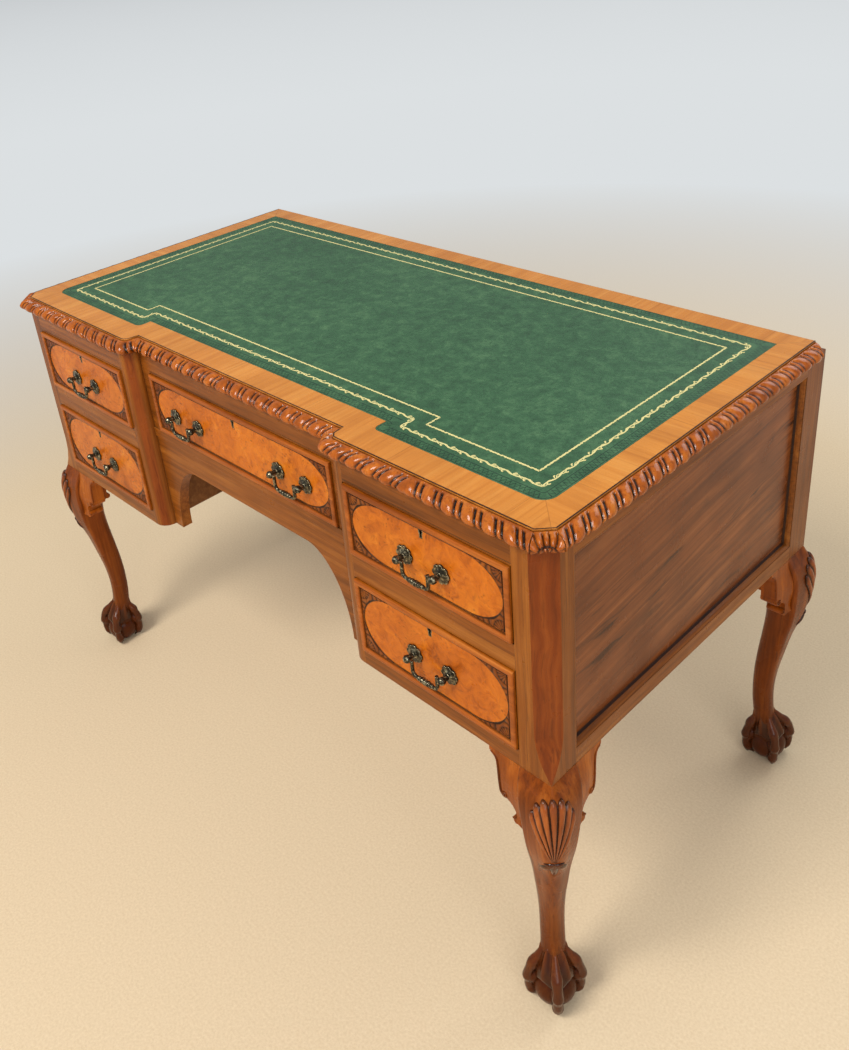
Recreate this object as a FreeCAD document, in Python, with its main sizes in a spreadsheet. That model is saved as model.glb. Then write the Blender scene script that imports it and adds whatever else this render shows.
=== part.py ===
"""Kneehole desk with five drawers, a leather writing surface and cabriole legs.

Millimetres, +Z up. The front faces -Y and the desk stands on the plane z = 0.
The right-hand pieces are modelled, and the left-hand ones mirror them.
"""

import FreeCAD, Part
import math
import os
import re
import Sketcher

Vector = FreeCAD.Vector

doc = FreeCAD.newDocument("kneehole_desk")

# Driving dimensions
SIZES = {
    "leg_height": 428,
    "carcass_height": 330,
    "carcass_width": 1186,
    "carcass_depth": 614,
    "depth_shift": 1,
    "step_depth": 23.5,
    "step_half_width": 242,
    # Top board, leather and edge moulding
    "top_thickness": 22,
    "top_side_setback": 3,
    "top_front_setback": 6.5,
    "top_back_setback": 28,
    "top_step_offset": 4.5,
    "top_corner_cant": 17,
    "top_step_radius": 12,
    "leather_thickness": 1.2,
    "leather_side_border": 36,
    "leather_front_border": 45,
    "leather_back_border": 37,
    "leather_step_border": 33,
    "leather_corner_radius": 20,
    "leather_step_radius": 9,
    "edge_projection": 20,
    "edge_top_drop": 2,
    "edge_foot_gap": 0.5,
    "edge_fillet_width": 2.5,
    # Posts, stiles and rails
    "post_square": 48,
    "post_cant": 24,
    "tongue_length": 70,
    "inner_post_square": 30,
    "stile_width": 28.5,
    "rail_depth": 40,
    "top_rail_height": 34,
    "middle_rail_height": 38.6,
    "upper_opening_height": 108.7,
    "bottom_rail_height": 25.4,
    "muntin_width": 20.5,
    "centre_opening_rise": 4,
    "centre_frame_depth": 20,
    "drawer_rail_height": 15.5,
    "drawer_rail_proud": 2,
    "apron_thickness": 18,
    "arch_end_width": 80,
    "arch_foot_width": 22,
    # Sides, backs and floors
    "side_frame_thickness": 22,
    "side_rail_height": 24,
    "side_panel_recess": 10,
    "side_panel_thickness": 8,
    "rear_rail_height": 24,
    "inner_panel_recess": 8,
    "inner_panel_thickness": 12,
    "back_panel_recess": 6,
    "back_panel_thickness": 8,
    "floor_rise": 8,
    "floor_thickness": 6,
    # Drawers
    "drawer_gap": 1.5,
    "drawer_proud": 4.5,
    "drawer_front_thickness": 20,
    "bead_width": 8,
    "bead_depth": 3.5,
    "bead_round": 2.2,
    "drawer_side_gap": 1,
    "drawer_side_thickness": 9,
    "drawer_side_rise": 1.8,
    "drawer_side_drop": 8,
    "drawer_back_clearance": 35.5,
    "drawer_bottom_thickness": 6,
    "drawer_bottom_rise": 8,
    "drawer_groove": 4,
    "seat_clearance": 0.3,
    "runner_height": 18,
    "runner_lap": 14,
    "guide_height": 20,
    # Drop handles and locks
    "handle_spacing": 61,
    "handle_drop": 7,
    "centre_handle_offset": 130,
    "rose_radius": 13.5,
    "rose_thickness": 2.6,
    "lobe_radius": 4.4,
    "neck_radius": 3.6,
    "knob_radius": 5.6,
    "knob_reach": 15,
    "stud_radius": 2.5,
    "nut_thickness": 3.5,
    "nut_radius": 5.5,
    "pivot_radius": 1.8,
    "pivot_length": 4.6,
    "pivot_clearance": 0.09,
    "stud_clearance": 0.1,
    "bail_radius": 2.5,
    "bail_gap": 0.6,
    "bail_drop": 20,
    "bail_bend": 7,
    "bead_radius": 4.3,
    "bead_pitch": 5.2,
    "keyhole_drop": 14,
    "keyhole_radius": 2.6,
    "keyhole_slot": 3,
    "keyhole_length": 8,
    "escutcheon_wall": 1.4,
    "escutcheon_length": 12,
    "lock_width": 54,
    "lock_height": 34,
    "lock_thickness": 9,
    "lock_drop": 3,
    # Cabriole legs and knee brackets
    "spigot_radius": 9,
    "spigot_length": 40,
    "spigot_clearance": 0.1,
    "ball_radius": 30,
    "ball_sink": 2,
    "talon_reach": 33.5,
    "talon_radius": 8.2,
    "bracket_reach": 97,
    "bracket_height": 97,
    "bracket_thickness": 22,
    "cut_overrun": 5,
}

# Proportions that hold at any size
SHARES = {
    "arch_rise_share": 0.768,
    "centre_back_share": 0.6,
}

# Places worked out from the driving dimensions
PLACES = {
    "carcass_side": "carcass_width / 2",
    "front_face": "depth_shift - carcass_depth / 2",
    "recess_face": "front_face + step_depth",
    "centre_frame_back": "recess_face + centre_frame_depth",
    "back_face": "front_face + carcass_depth",
    "carcass_top": "leg_height + carcass_height",
    "desk_height": "carcass_top + top_thickness",
    "edge_height": "top_thickness - edge_top_drop - edge_foot_gap",
    "top_half": "carcass_side - top_side_setback",
    "top_front": "front_face + top_front_setback",
    "top_back": "back_face - top_back_setback",
    "top_step_half": "step_half_width + top_step_offset",
    "post_inner": "carcass_side - post_square",
    "stile_outer": "step_half_width + stile_width",
    "opening_width": "post_inner - stile_outer",
    "rail_back": "front_face + rail_depth",
    "post_back": "front_face + post_square",
    "inner_panel_face": "step_half_width + inner_panel_recess",
    "inner_panel_back": "inner_panel_face + inner_panel_thickness",
    "side_frame_inner": "carcass_side - side_frame_thickness",
    "rear_post_front": "back_face - post_square",
    "inner_post_front": "back_face - inner_post_square",
    "rear_rail_bottom": "carcass_top - rear_rail_height",
    "back_panel_back": "back_face - back_panel_recess",
    "back_panel_front": "back_panel_back - back_panel_thickness",
    "floor_bottom": "leg_height + floor_rise",
    "floor_top": "floor_bottom + floor_thickness",
    "lower_opening_bottom": "leg_height + bottom_rail_height",
    "upper_opening_top": "carcass_top - top_rail_height",
    "upper_opening_bottom": "upper_opening_top - upper_opening_height",
    "middle_rail_bottom": "upper_opening_bottom - middle_rail_height",
    "lower_opening_height": "middle_rail_bottom - lower_opening_bottom",
    "centre_opening_half": "step_half_width - muntin_width",
    "centre_opening_width": "centre_opening_half * 2",
    "centre_opening_bottom": "upper_opening_bottom + centre_opening_rise",
    "centre_opening_height": "upper_opening_top - centre_opening_bottom",
    "drawer_rail_bottom": "centre_opening_bottom - drawer_rail_height",
    "apron_height": "drawer_rail_bottom - leg_height",
    "arch_rise": "apron_height * arch_rise_share",
    "arch_foot_half": "step_half_width - arch_foot_width",
    "arch_flat_half": "arch_foot_half - arch_end_width",
    "centre_back_height": "carcass_height * centre_back_share",
    "pedestal_centre": "(stile_outer + post_inner) / 2",
}
for drawer_name, opening, opening_face in (
    ("upper", "opening_width", "front_face"),
    ("lower", "opening_width", "front_face"),
    ("centre", "centre_opening_width", "recess_face"),
):
    PLACES.update({
        drawer_name + "_front_width": opening + " - drawer_gap * 2",
        drawer_name + "_front_height": drawer_name + "_opening_height - drawer_gap * 2",
        drawer_name + "_front_bottom": drawer_name + "_opening_bottom + drawer_gap",
        drawer_name + "_front_top": drawer_name + "_opening_bottom + %s_opening_height - drawer_gap" % drawer_name,
        drawer_name + "_lip": opening_face + " - drawer_proud",
        drawer_name + "_field": drawer_name + "_lip + bead_depth",
        drawer_name + "_front_back": drawer_name + "_lip + drawer_front_thickness",
        drawer_name + "_side_bottom": drawer_name + "_front_bottom + drawer_side_rise",
        drawer_name + "_side_height": drawer_name + "_front_height - drawer_side_rise - drawer_side_drop",
        drawer_name + "_box_width": opening + " - drawer_side_gap * 2",
        drawer_name + "_box_depth": "inner_post_front - %s_front_back - drawer_back_clearance" % drawer_name,
        drawer_name + "_seat": drawer_name + "_side_bottom - seat_clearance",
        drawer_name + "_handle_level": drawer_name + "_front_bottom + %s_front_height / 2 - handle_drop" % drawer_name,
        drawer_name + "_key_level": drawer_name + "_front_top - keyhole_drop",
    })

# The sheets
owner = {}
sheets = {}
for sheet_name, cells in (("sizes", SIZES), ("shares", SHARES), ("places", PLACES)):
    sheets[sheet_name] = doc.addObject("Spreadsheet::Sheet", sheet_name)
    for alias in cells:
        owner[alias] = sheet_name


def formula(text):
    """Spell a formula of plain names as an expression on the sheets."""
    return re.sub("[a-z_]+", lambda found: owner[found.group()] + "." + found.group(), text)


def fill_row(sheet_name, row, alias, content):
    """Write one named cell, with its name beside it."""
    sheets[sheet_name].set("A%d" % row, alias)
    sheets[sheet_name].set("B%d" % row, content)
    sheets[sheet_name].setAlias("B%d" % row, alias)


for sheet_name, cells in (("sizes", SIZES), ("shares", SHARES)):
    for row, (alias, number) in enumerate(cells.items(), 1):
        fill_row(sheet_name, row, alias, str(number))
doc.recompute()
for row, (alias, text) in enumerate(PLACES.items(), 1):
    fill_row("places", row, alias, "=" + formula(text))
    doc.recompute()


def size(alias):
    """The number that a sheet holds under an alias."""
    return float(sheets[owner[alias]].get(alias))


nodes = {}


def keep(label, piece):
    """Make a piece one of the desk's nodes."""
    piece.Label = label
    nodes[label] = piece
    return piece


def block(name, corner, extent):
    """A box whose near corner and sides are formulas of named sizes."""
    piece = doc.addObject("Part::Box", name)
    for axis, text in zip("xyz", corner):
        piece.setExpression("Placement.Base." + axis, formula(text))
    for side, text in zip(("Length", "Width", "Height"), extent):
        piece.setExpression(side, formula(text))
    return piece


def mirrored(piece, name):
    """The left-hand twin of a right-hand piece."""
    twin = doc.addObject("Part::Mirroring", name)
    twin.Source = piece
    twin.Normal = Vector(1, 0, 0)
    return twin


def group(label, pieces):
    """Several separate solids in one node."""
    bundle = doc.addObject("Part::Compound", label)
    bundle.Links = pieces
    return keep(label, bundle)


def shaped(name, shape, place=None):
    """A piece whose form is worked out in code, then put in its place."""
    piece = doc.addObject("Part::Feature", name)
    piece.Shape = shape
    if place is not None:
        piece.Placement = place
    return piece


def keep_pair(label, piece):
    """Keep a right-hand piece and its left-hand twin as two nodes."""
    keep(label + "_right", piece)
    keep(label + "_left", mirrored(piece, label + "_left"))


def closed_face(edges):
    """A flat face inside a ring of edges."""
    return Part.Face(Part.Wire(Part.__sortEdges__(edges)))


def line(start, end):
    return Part.LineSegment(start, end).toShape()


def arc(start, middle, end):
    return Part.Arc(start, middle, end).toShape()


def polygon(points):
    """A flat face with straight sides."""
    return Part.Face(Part.makePolygon(points + points[:1]))


def origin_plane(body, role):
    """One of a body's own origin planes."""
    return next(plane for plane in body.Origin.OriginFeatures if plane.Role == role)


def new_body(name, base):
    """An empty body standing at a point given by formulas."""
    body = doc.addObject("PartDesign::Body", name)
    for axis, text in zip("xyz", base):
        body.setExpression("Placement.Base." + axis, formula(text))
    return body


def new_sketch(body, name, role):
    """A sketch on one of the body's origin planes."""
    sketch = body.newObject("Sketcher::SketchObject", name)
    sketch.AttachmentSupport = [(origin_plane(body, role), "")]
    sketch.MapMode = "FlatFace"
    return sketch


def rectangle(sketch, left, bottom, width, height):
    """A rectangle held by four formulas, measured from the sketch's origin."""
    corners = [Vector(0, 0), Vector(1, 0), Vector(1, 1), Vector(0, 1)]
    lines = [sketch.addGeometry(Part.LineSegment(corners[side - 1], corners[side])) for side in range(4)]
    for first, second in zip(lines, lines[1:] + lines[:1]):
        sketch.addConstraint(Sketcher.Constraint("Coincident", first, 2, second, 1))
    for side, kind in zip(lines, ("Vertical", "Horizontal", "Vertical", "Horizontal")):
        sketch.addConstraint(Sketcher.Constraint(kind, side))
    held = (
        ("DistanceX", (-1, 1, lines[1], 1), left),
        ("DistanceY", (-1, 1, lines[1], 1), bottom),
        ("DistanceX", (lines[1], 1, lines[1], 2), width),
        ("DistanceY", (lines[2], 1, lines[2], 2), height),
    )
    for kind, between, text in held:
        index = sketch.addConstraint(Sketcher.Constraint(kind, *between, 1.0))
        sketch.setExpression("Constraints[%d]" % index, formula(text))


def circle(sketch, across, up, radius):
    """A circle held by three formulas, measured from the sketch's origin."""
    ring = sketch.addGeometry(Part.Circle(Vector(1, 1), Vector(0, 0, 1), 1))
    held = (("DistanceX", (-1, 1, ring, 3), across), ("DistanceY", (-1, 1, ring, 3), up), ("Radius", (ring,), radius))
    for kind, between, text in held:
        index = sketch.addConstraint(Sketcher.Constraint(kind, *between, 1.0))
        sketch.setExpression("Constraints[%d]" % index, formula(text))


def pad(body, name, sketch, length, inward=False):
    """Material added from a sketch, along its normal or against it."""
    feature = body.newObject("PartDesign::Pad", name)
    feature.Profile = sketch
    feature.Reversed = inward
    feature.setExpression("Length", formula(length))
    doc.recompute()
    return feature


def pocket(body, name, sketch, depth):
    """Material cut from a sketch, with a test that it did cut."""
    before = body.Shape.Volume
    feature = body.newObject("PartDesign::Pocket", name)
    feature.Profile = sketch
    feature.setExpression("Length", formula(depth))
    doc.recompute()
    if body.Shape.Volume >= before:
        raise RuntimeError("the cut " + name + " takes nothing away")
    return feature


# Top board with its cants, steps and recess for the leather
def top_corners():
    """Corner points of the flat top's front and sides, from the back left round to the back right."""
    half, cant, step = size("top_half"), size("top_corner_cant"), size("top_step_half")
    front, back = size("top_front"), size("top_back")
    recess = front + size("step_depth")
    right = [
        Vector(step, recess, 0),
        Vector(step, front, 0),
        Vector(half - cant, front, 0),
        Vector(half, front + cant, 0),
        Vector(half, back, 0),
    ]
    left = [Vector(-point.x, point.y, 0) for point in reversed(right)]
    return left + right


def rounded_outline(points, radii):
    """A closed flat wire through corner points, each with a rounding radius that may be zero."""
    edges = []
    ends = []
    for index, (corner, radius) in enumerate(zip(points, radii)):
        before = (points[index - 1] - corner).normalize()
        after = (points[(index + 1) % len(points)] - corner).normalize()
        reach = radius / math.tan(before.getAngle(after) / 2)
        start, end = corner + before * reach, corner + after * reach
        if radius:
            bisector = (before + after).normalize()
            centre = corner + bisector * math.hypot(radius, reach)
            edges.append(arc(start, centre - bisector * radius, end))
        ends.append((start, end))
    for (_, leaving), (arriving, _) in zip(ends, ends[1:] + ends[:1]):
        edges.append(line(leaving, arriving))
    return Part.Wire(Part.__sortEdges__(edges))


corners = top_corners()
step_corners = (3, 6)
top_radii = [size("top_step_radius") if index in step_corners else 0 for index in range(len(corners))]
top_wire = rounded_outline(corners, top_radii)
top_base = Vector(0, 0, size("carcass_top"))
top_solid = Part.Face(top_wire).extrude(Vector(0, 0, size("top_thickness")))
top_solid.translate(top_base)


def leather_wire():
    """Outline of the leather: it follows the top's steps inside a wooden border."""
    half = size("top_half") - size("leather_side_border")
    front = size("top_front") + size("leather_front_border")
    recess = front + size("step_depth")
    back = size("top_back") - size("leather_back_border")
    step = size("top_step_half") + size("leather_step_border")
    right = [Vector(step, recess, 0), Vector(step, front, 0), Vector(half, front, 0), Vector(half, back, 0)]
    points = [Vector(-point.x, point.y, 0) for point in reversed(right)] + right
    bend, corner = size("leather_step_radius"), size("leather_corner_radius")
    return rounded_outline(points, [0, corner, bend, 0, 0, bend, corner, 0])


leather = Part.Face(leather_wire()).extrude(Vector(0, 0, size("leather_thickness")))
leather.translate(Vector(0, 0, size("desk_height") - size("leather_thickness")))
leather_piece = keep("writing_leather", shaped("writing_leather", leather))
top_blank = shaped("top_blank", top_solid)
top_board = doc.addObject("Part::Cut", "top_board")
top_board.Base = top_blank
top_board.Tool = leather_piece
keep("top_board", top_board)


# Thumb moulding along the top's front and sides, mitred into runs
def offset_corners(points, distance):
    """The corner points moved outward, so that each side keeps its direction."""
    moved = []
    for index, point in enumerate(points):
        ways = []
        if index > 0:
            ways.append((point - points[index - 1]).normalize())
        if index < len(points) - 1:
            ways.append((points[index + 1] - point).normalize())
        normals = [Vector(way.y, -way.x, 0) for way in ways]
        middle = (normals[0] + normals[-1]).normalize()
        moved.append(point + middle * (distance / middle.dot(normals[0])))
    return moved


THUMB_SHARES = {"crown": (0.77, 0.90), "nose": (1.0, 0.50), "belly": (0.86, 0.13), "heel": (0.45, 0.0)}


def thumb_face(foot, outward):
    """Section of the moulding, standing at a point of the top's edge."""
    reach, tall = size("edge_projection"), size("edge_height")

    def at(share):
        return foot + outward * (reach * share[0]) + Vector(0, 0, tall * share[1])

    shares = {name: at(share) for name, share in THUMB_SHARES.items()}
    head = foot + Vector(0, 0, tall)
    fillet = head + outward * size("edge_fillet_width")
    edges = [
        line(foot, head),
        line(head, fillet),
        arc(fillet, shares["crown"], shares["nose"]),
        arc(shares["nose"], shares["belly"], shares["heel"]),
        line(shares["heel"], foot),
    ]
    return Part.Face(Part.Wire(edges))


edge_base = Vector(0, 0, size("desk_height") - size("edge_top_drop") - size("edge_height"))
outer_corners = offset_corners(corners, size("edge_projection"))
overrun = size("cut_overrun")


def plan_prism(points):
    """Everything above and below a plan outline, over the moulding's height."""
    tall = size("edge_height") + overrun * 2
    low = edge_base - Vector(0, 0, overrun)
    return polygon([point + low for point in points]).extrude(Vector(0, 0, tall))


def straight_run(first):
    """The moulding between one corner and the next, mitred at both."""
    start, end = corners[first], corners[first + 1]
    way = (end - start).normalize()
    outward = Vector(way.y, -way.x, 0)
    lead = way * size("edge_projection")
    bar = thumb_face(start - lead + edge_base, outward).extrude(end - start + lead * 2)
    return bar.common(plan_prism([start, end, outer_corners[first + 1], outer_corners[first]]))


def pedestal_run():
    """The moulding over the right pedestal, with its rounded return at the step."""
    inner, corner, end = corners[5], corners[6], corners[7]
    bend = size("top_step_radius")
    lead = size("edge_projection")
    top_of_return = inner + Vector(0, lead, 0)
    arc_start, arc_end = corner + Vector(0, bend, 0), corner + Vector(bend, 0, 0)
    slack = bend * (1 - math.sqrt(0.5))
    arc_middle = corner + Vector(slack, slack, 0)
    path = Part.Wire([
        line(top_of_return + edge_base, arc_start + edge_base),
        arc(arc_start + edge_base, arc_middle + edge_base, arc_end + edge_base),
        line(arc_end + edge_base, end + Vector(lead, 0, 0) + edge_base),
    ])
    bar = path.makePipe(thumb_face(top_of_return + edge_base, Vector(-1, 0, 0)))
    return bar.common(plan_prism([inner, outer_corners[5], outer_corners[6], outer_corners[7], end]))


keep("gadroon_front_centre", shaped("gadroon_front_centre", straight_run(4)))
keep_pair("gadroon_front", shaped("gadroon_front_right", pedestal_run()))
keep_pair("gadroon_corner", shaped("gadroon_corner_right", straight_run(7)))
keep_pair("gadroon_side", shaped("gadroon_side_right", straight_run(8)))


# Cabriole legs with claw and ball feet
# Each row: height as a share of the leg, then shares of the square stock: centre, outward and inward
# half lengths, half width, and the rounding of the outer, side and inner corners.
LEG_SECTION_SHARES = (
    (0.105, -0.040, 0.640, 0.640, 0.680, 0.340, 0.340, 0.340),
    (0.150, -0.100, 0.540, 0.540, 0.610, 0.320, 0.320, 0.320),
    (0.199, -0.180, 0.450, 0.450, 0.530, 0.290, 0.290, 0.290),
    (0.270, -0.270, 0.460, 0.460, 0.475, 0.295, 0.295, 0.295),
    (0.350, -0.310, 0.480, 0.480, 0.470, 0.300, 0.300, 0.300),
    (0.444, -0.265, 0.520, 0.520, 0.505, 0.310, 0.300, 0.310),
    (0.537, -0.150, 0.600, 0.585, 0.553, 0.340, 0.260, 0.350),
    (0.631, -0.005, 0.700, 0.665, 0.611, 0.390, 0.200, 0.400),
    (0.713, 0.130, 0.860, 0.790, 0.692, 0.420, 0.125, 0.440),
    (0.794, 0.160, 0.950, 0.895, 0.767, 0.440, 0.105, 0.460),
    (0.876, 0.130, 0.990, 0.960, 0.832, 0.450, 0.105, 0.450),
    (0.946, -0.010, 0.940, 0.940, 0.834, 0.325, 0.105, 0.330),
    (1.000, -0.190, 0.710, 0.710, 0.710, 0.030, 0.030, 0.030),
)
# Angle from the top of the ball in degrees, and the toe's thickness there as a share of its knuckle
TALON_SHARES = ((14, 0.95), (46, 0.80), (66, 1.04), (84, 0.72), (102, 0.96), (122, 0.66), (142, 0.22))
# A toe's tendon: its start off the leg's middle as shares of the square stock and of the leg's height, the angle
# over the ball at which it ends, and its girths as shares of the knuckle's
TENDON_SHARES = {
    "centre": -0.235, "out": 0.27, "height": 0.24, "end_angle": 46, "start_girth": 0.35, "end_girth": 0.68,
}
TALON_COUNT = 4


def leg_section(row):
    """One rounded kite across the leg, its corners pointing out, in and to both sides."""
    height, centre, outward, inward, half, round_out, round_side, round_in = row
    stock = size("post_square")
    level = size("leg_height") * height
    middle = centre * stock
    points = [
        Vector(middle + outward * stock, 0, level),
        Vector(middle, half * stock, level),
        Vector(middle - inward * stock, 0, level),
        Vector(middle, -half * stock, level),
    ]
    return rounded_outline(points, [round_out * stock, round_side * stock, round_in * stock, round_side * stock])


def talon():
    """One toe along +X: knuckles bent over the ball, ending in the claw."""
    middle = size("ball_radius") - size("ball_sink")
    rings = []
    for angle, share in TALON_SHARES:
        lean = math.radians(angle)
        spot = Vector(size("talon_reach") * math.sin(lean), 0, middle + size("talon_reach") * math.cos(lean))
        along = Vector(math.cos(lean), 0, -math.sin(lean))
        rings.append(Part.Wire(Part.makeCircle(size("talon_radius") * share, spot, along)))
    return Part.makeLoft(rings, True)


def tendon(turn):
    """The ridge that runs down the ankle to a toe's first knuckle."""
    upward, stock = Vector(0, 0, 1), size("post_square")
    way = FreeCAD.Rotation(upward, turn).multVec(Vector(1, 0, 0))
    start = upward * (TENDON_SHARES["height"] * size("leg_height")) + way * (TENDON_SHARES["out"] * stock)
    start += Vector(TENDON_SHARES["centre"] * stock, 0, 0)
    lean = math.radians(TENDON_SHARES["end_angle"])
    end = upward * (size("ball_radius") - size("ball_sink") + size("talon_reach") * math.cos(lean))
    end += way * (size("talon_reach") * math.sin(lean))
    slope = end - start
    thin, thick = TENDON_SHARES["start_girth"], TENDON_SHARES["end_girth"]
    return Part.makeCone(thin * size("talon_radius"), thick * size("talon_radius"), slope.Length, start, slope)


def turned(shape, turn):
    """A copy turned about the ball's upright axis."""
    copy = shape.copy()
    copy.rotate(Vector(), Vector(0, 0, 1), turn)
    return copy


def leg_shape():
    """A leg at its own foot, the knee swelling along +X."""
    shaft = Part.makeLoft([leg_section(row) for row in LEG_SECTION_SHARES], True)
    ball = Part.makeSphere(size("ball_radius"), Vector(0, 0, size("ball_radius") - size("ball_sink")))
    middle = LEG_SECTION_SHARES[-1][1] * size("post_square")
    spigot = Part.makeCylinder(
        size("spigot_radius"), size("spigot_length") + overrun, Vector(middle, 0, size("leg_height") - overrun)
    )
    toe = talon()
    leg = shaft.fuse(ball)
    for quarter in range(TALON_COUNT):
        turn = 360 * quarter / TALON_COUNT
        leg = leg.fuse(turned(toe, turn))
        leg = leg.fuse(tendon(turn))
    leg = leg.fuse(spigot)
    wide = size("leg_height")
    ground = Part.makeBox(wide, wide, overrun * 2, Vector(-wide / 2, -wide / 2, -overrun * 2))
    return leg.cut(ground).removeSplitter()


leg_form = leg_shape()
foot_inset = size("post_square") * (LEG_SECTION_SHARES[-1][1] + LEG_SECTION_SHARES[-1][2]) * math.sqrt(0.5)
foot_across = size("carcass_side") - foot_inset
leg_places = {}
for end_name, face, toward in (("front", "front_face", 1), ("rear", "back_face", -1)):
    for side_name, hand in (("left", -1), ("right", 1)):
        turn = math.degrees(math.atan2(-toward, hand))
        spot = Vector(hand * foot_across, size(face) + toward * foot_inset, 0)
        place = FreeCAD.Placement(spot, FreeCAD.Rotation(Vector(0, 0, 1), turn))
        label = "leg_%s_%s" % (end_name, side_name)
        leg_places[label] = place
        keep(label, shaped(label, leg_form, place))


# Knee brackets beside each leg, under the rails
# Points of the scroll outline: distance from the post's corner and drop below the rail, as shares of the
# bracket's reach and height
BRACKET_SHARES = {
    "tip": (1.00, 0.065),
    "tip_hollow": (0.885, 0.150),
    "throat": (0.855, 0.300),
    "heel": (0.835, 0.570),
    "upper_nub": (0.815, 0.680),
    "upper_nub_end": (0.700, 0.700),
    "hollow": (0.575, 0.775),
    "hollow_end": (0.545, 0.900),
    "lower_nub": (0.605, 0.955),
    "lower_nub_end": (0.515, 1.000),
}
BRACKET_ROOT_SHARE = 0.6
BRACKET_SAG_SHARE = 0.08
BRACKET_SWELL_SHARE = 0.28
# Drop below the rail and outward swell at the root, as shares of the bracket's height and greatest swell
SWELL_SHARES = ((-0.05, 0.02), (0.0, 0.03), (0.24, 0.59), (0.55, 0.97), (1.05, 1.0))


def bracket_shape():
    """The right front bracket along the front rail: its scroll outline, swollen towards the knee."""
    reach, tall = size("bracket_reach"), size("bracket_height")
    deep, swell = size("bracket_thickness"), size("post_square") * BRACKET_SWELL_SHARE
    root = -size("post_square") * BRACKET_ROOT_SHARE
    spots = {name: Vector(-reach * share[0], -swell, -tall * share[1]) for name, share in BRACKET_SHARES.items()}
    corner, end = Vector(root, -swell, 0), Vector(-reach, -swell, 0)
    low = Vector(root, -swell, -tall)
    edges = [
        line(corner, end),
        line(end, spots["tip"]),
        arc(spots["tip"], spots["tip_hollow"], spots["throat"]),
        line(spots["throat"], spots["heel"]),
        arc(spots["heel"], spots["upper_nub"], spots["upper_nub_end"]),
        arc(spots["upper_nub_end"], spots["hollow"], spots["hollow_end"]),
        arc(spots["hollow_end"], spots["lower_nub"], spots["lower_nub_end"]),
        line(spots["lower_nub_end"], low),
        line(low, corner),
    ]
    outline = Part.Face(Part.Wire(edges)).extrude(Vector(0, deep + swell, 0))
    sections = []
    for drop, share in SWELL_SHARES:
        level = Vector(0, 0, -tall * drop)
        tip, knee = Vector(-reach, 0, 0), Vector(root, -swell * share, 0)
        sag = (tip + knee) / 2 + Vector(0, swell * share * BRACKET_SAG_SHARE, 0)
        back_tip, back_knee = Vector(-reach, deep, 0), Vector(root, deep, 0)
        sections.append(Part.Wire([
            line(back_tip + level, tip + level),
            arc(tip + level, sag + level, knee + level),
            line(knee + level, back_knee + level),
            line(back_knee + level, back_tip + level),
        ]))
    return outline.common(Part.makeLoft(sections, True))


def brackets():
    """Both brackets of every leg, cut to the leg's own surface."""
    form = bracket_shape()
    across = form.mirror(Vector(0, 0, 0), Vector(1, 1, 0))
    pieces = []
    for label, place in leg_places.items():
        toward_x = 1 if place.Base.x > 0 else -1
        toward_y = 1 if place.Base.y > 0 else -1
        corner = Vector(size("carcass_side"), size("front_face" if toward_y < 0 else "back_face"), size("leg_height"))
        for piece in (form, across):
            copy = piece.copy()
            if toward_x < 0:
                copy = copy.mirror(Vector(0, 0, 0), Vector(1, 0, 0))
            if toward_y > 0:
                copy = copy.mirror(Vector(0, 0, 0), Vector(0, 1, 0))
            copy.translate(Vector(toward_x * corner.x, corner.y, corner.z))
            leg = leg_form.copy()
            leg.Placement = place
            pieces.append(max(copy.cut(leg).Solids, key=lambda solid: solid.Volume))
    return pieces


keep("knee_brackets", shaped("knee_brackets", Part.makeCompound(brackets())))


# Posts at the four corners, bored for the legs' spigots
def spigot_bore(place):
    """The hole that a leg's spigot fills, with its clearance."""
    middle = LEG_SECTION_SHARES[-1][1] * size("post_square")
    radius = size("spigot_radius") + size("spigot_clearance")
    bore = Part.makeCylinder(radius, size("spigot_length") + overrun * 2, Vector(middle, 0, size("leg_height") - overrun))
    bore.Placement = place
    return bore


def front_post():
    """The right front post: a square cut to a cant that runs out in a tongue at its foot."""
    square = size("post_square")
    low, high = size("leg_height"), size("carcass_top")
    inset = size("post_cant") * math.sqrt(0.5)
    length = size("tongue_length")
    corner = Vector(size("carcass_side"), size("front_face"), 0)
    post = Part.makeBox(square, square, high - low, corner + Vector(-square, 0, low))
    bend = (inset ** 2 + length ** 2) / (inset * 2)
    half_turn = math.asin(length / bend) / 2

    def at(outward, level):
        return corner + Vector(outward, -outward, 0) * math.sqrt(0.5) + Vector(0, 0, level)

    head, tongue, point = at(-inset, high + overrun), at(-inset, low + length), at(0, low)
    middle = at(bend * (1 - math.cos(half_turn)) - inset, low + length - bend * math.sin(half_turn))
    edges = [
        line(head, tongue),
        arc(tongue, middle, point),
        line(point, at(square, low)),
        line(at(square, low), at(square, high + overrun)),
        line(at(square, high + overrun), head),
    ]
    across = Vector(square, square, 0)
    shaving = Part.Face(Part.Wire(edges))
    shaving.translate(across * -0.5)
    return post.cut(shaving.extrude(across)).cut(spigot_bore(leg_places["leg_front_right"]))


keep_pair("front_post", shaped("front_post_right", front_post()))

rear_blank = block(
    "rear_post_blank",
    ("post_inner", "rear_post_front", "leg_height"),
    ("post_square", "post_square", "carcass_height"),
)
rear_post = doc.addObject("Part::Cut", "rear_post_right")
rear_post.Base = rear_blank
rear_post.Tool = shaped("rear_post_bore", spigot_bore(leg_places["leg_rear_right"]))
keep_pair("rear_post", rear_post)

inner_rear_post = block(
    "inner_rear_post",
    ("step_half_width", "inner_post_front", "leg_height"),
    ("inner_post_square", "inner_post_square", "carcass_height - rear_rail_height"),
)
group("inner_rear_posts", [inner_rear_post, mirrored(inner_rear_post, "inner_rear_post_left")])


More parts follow.
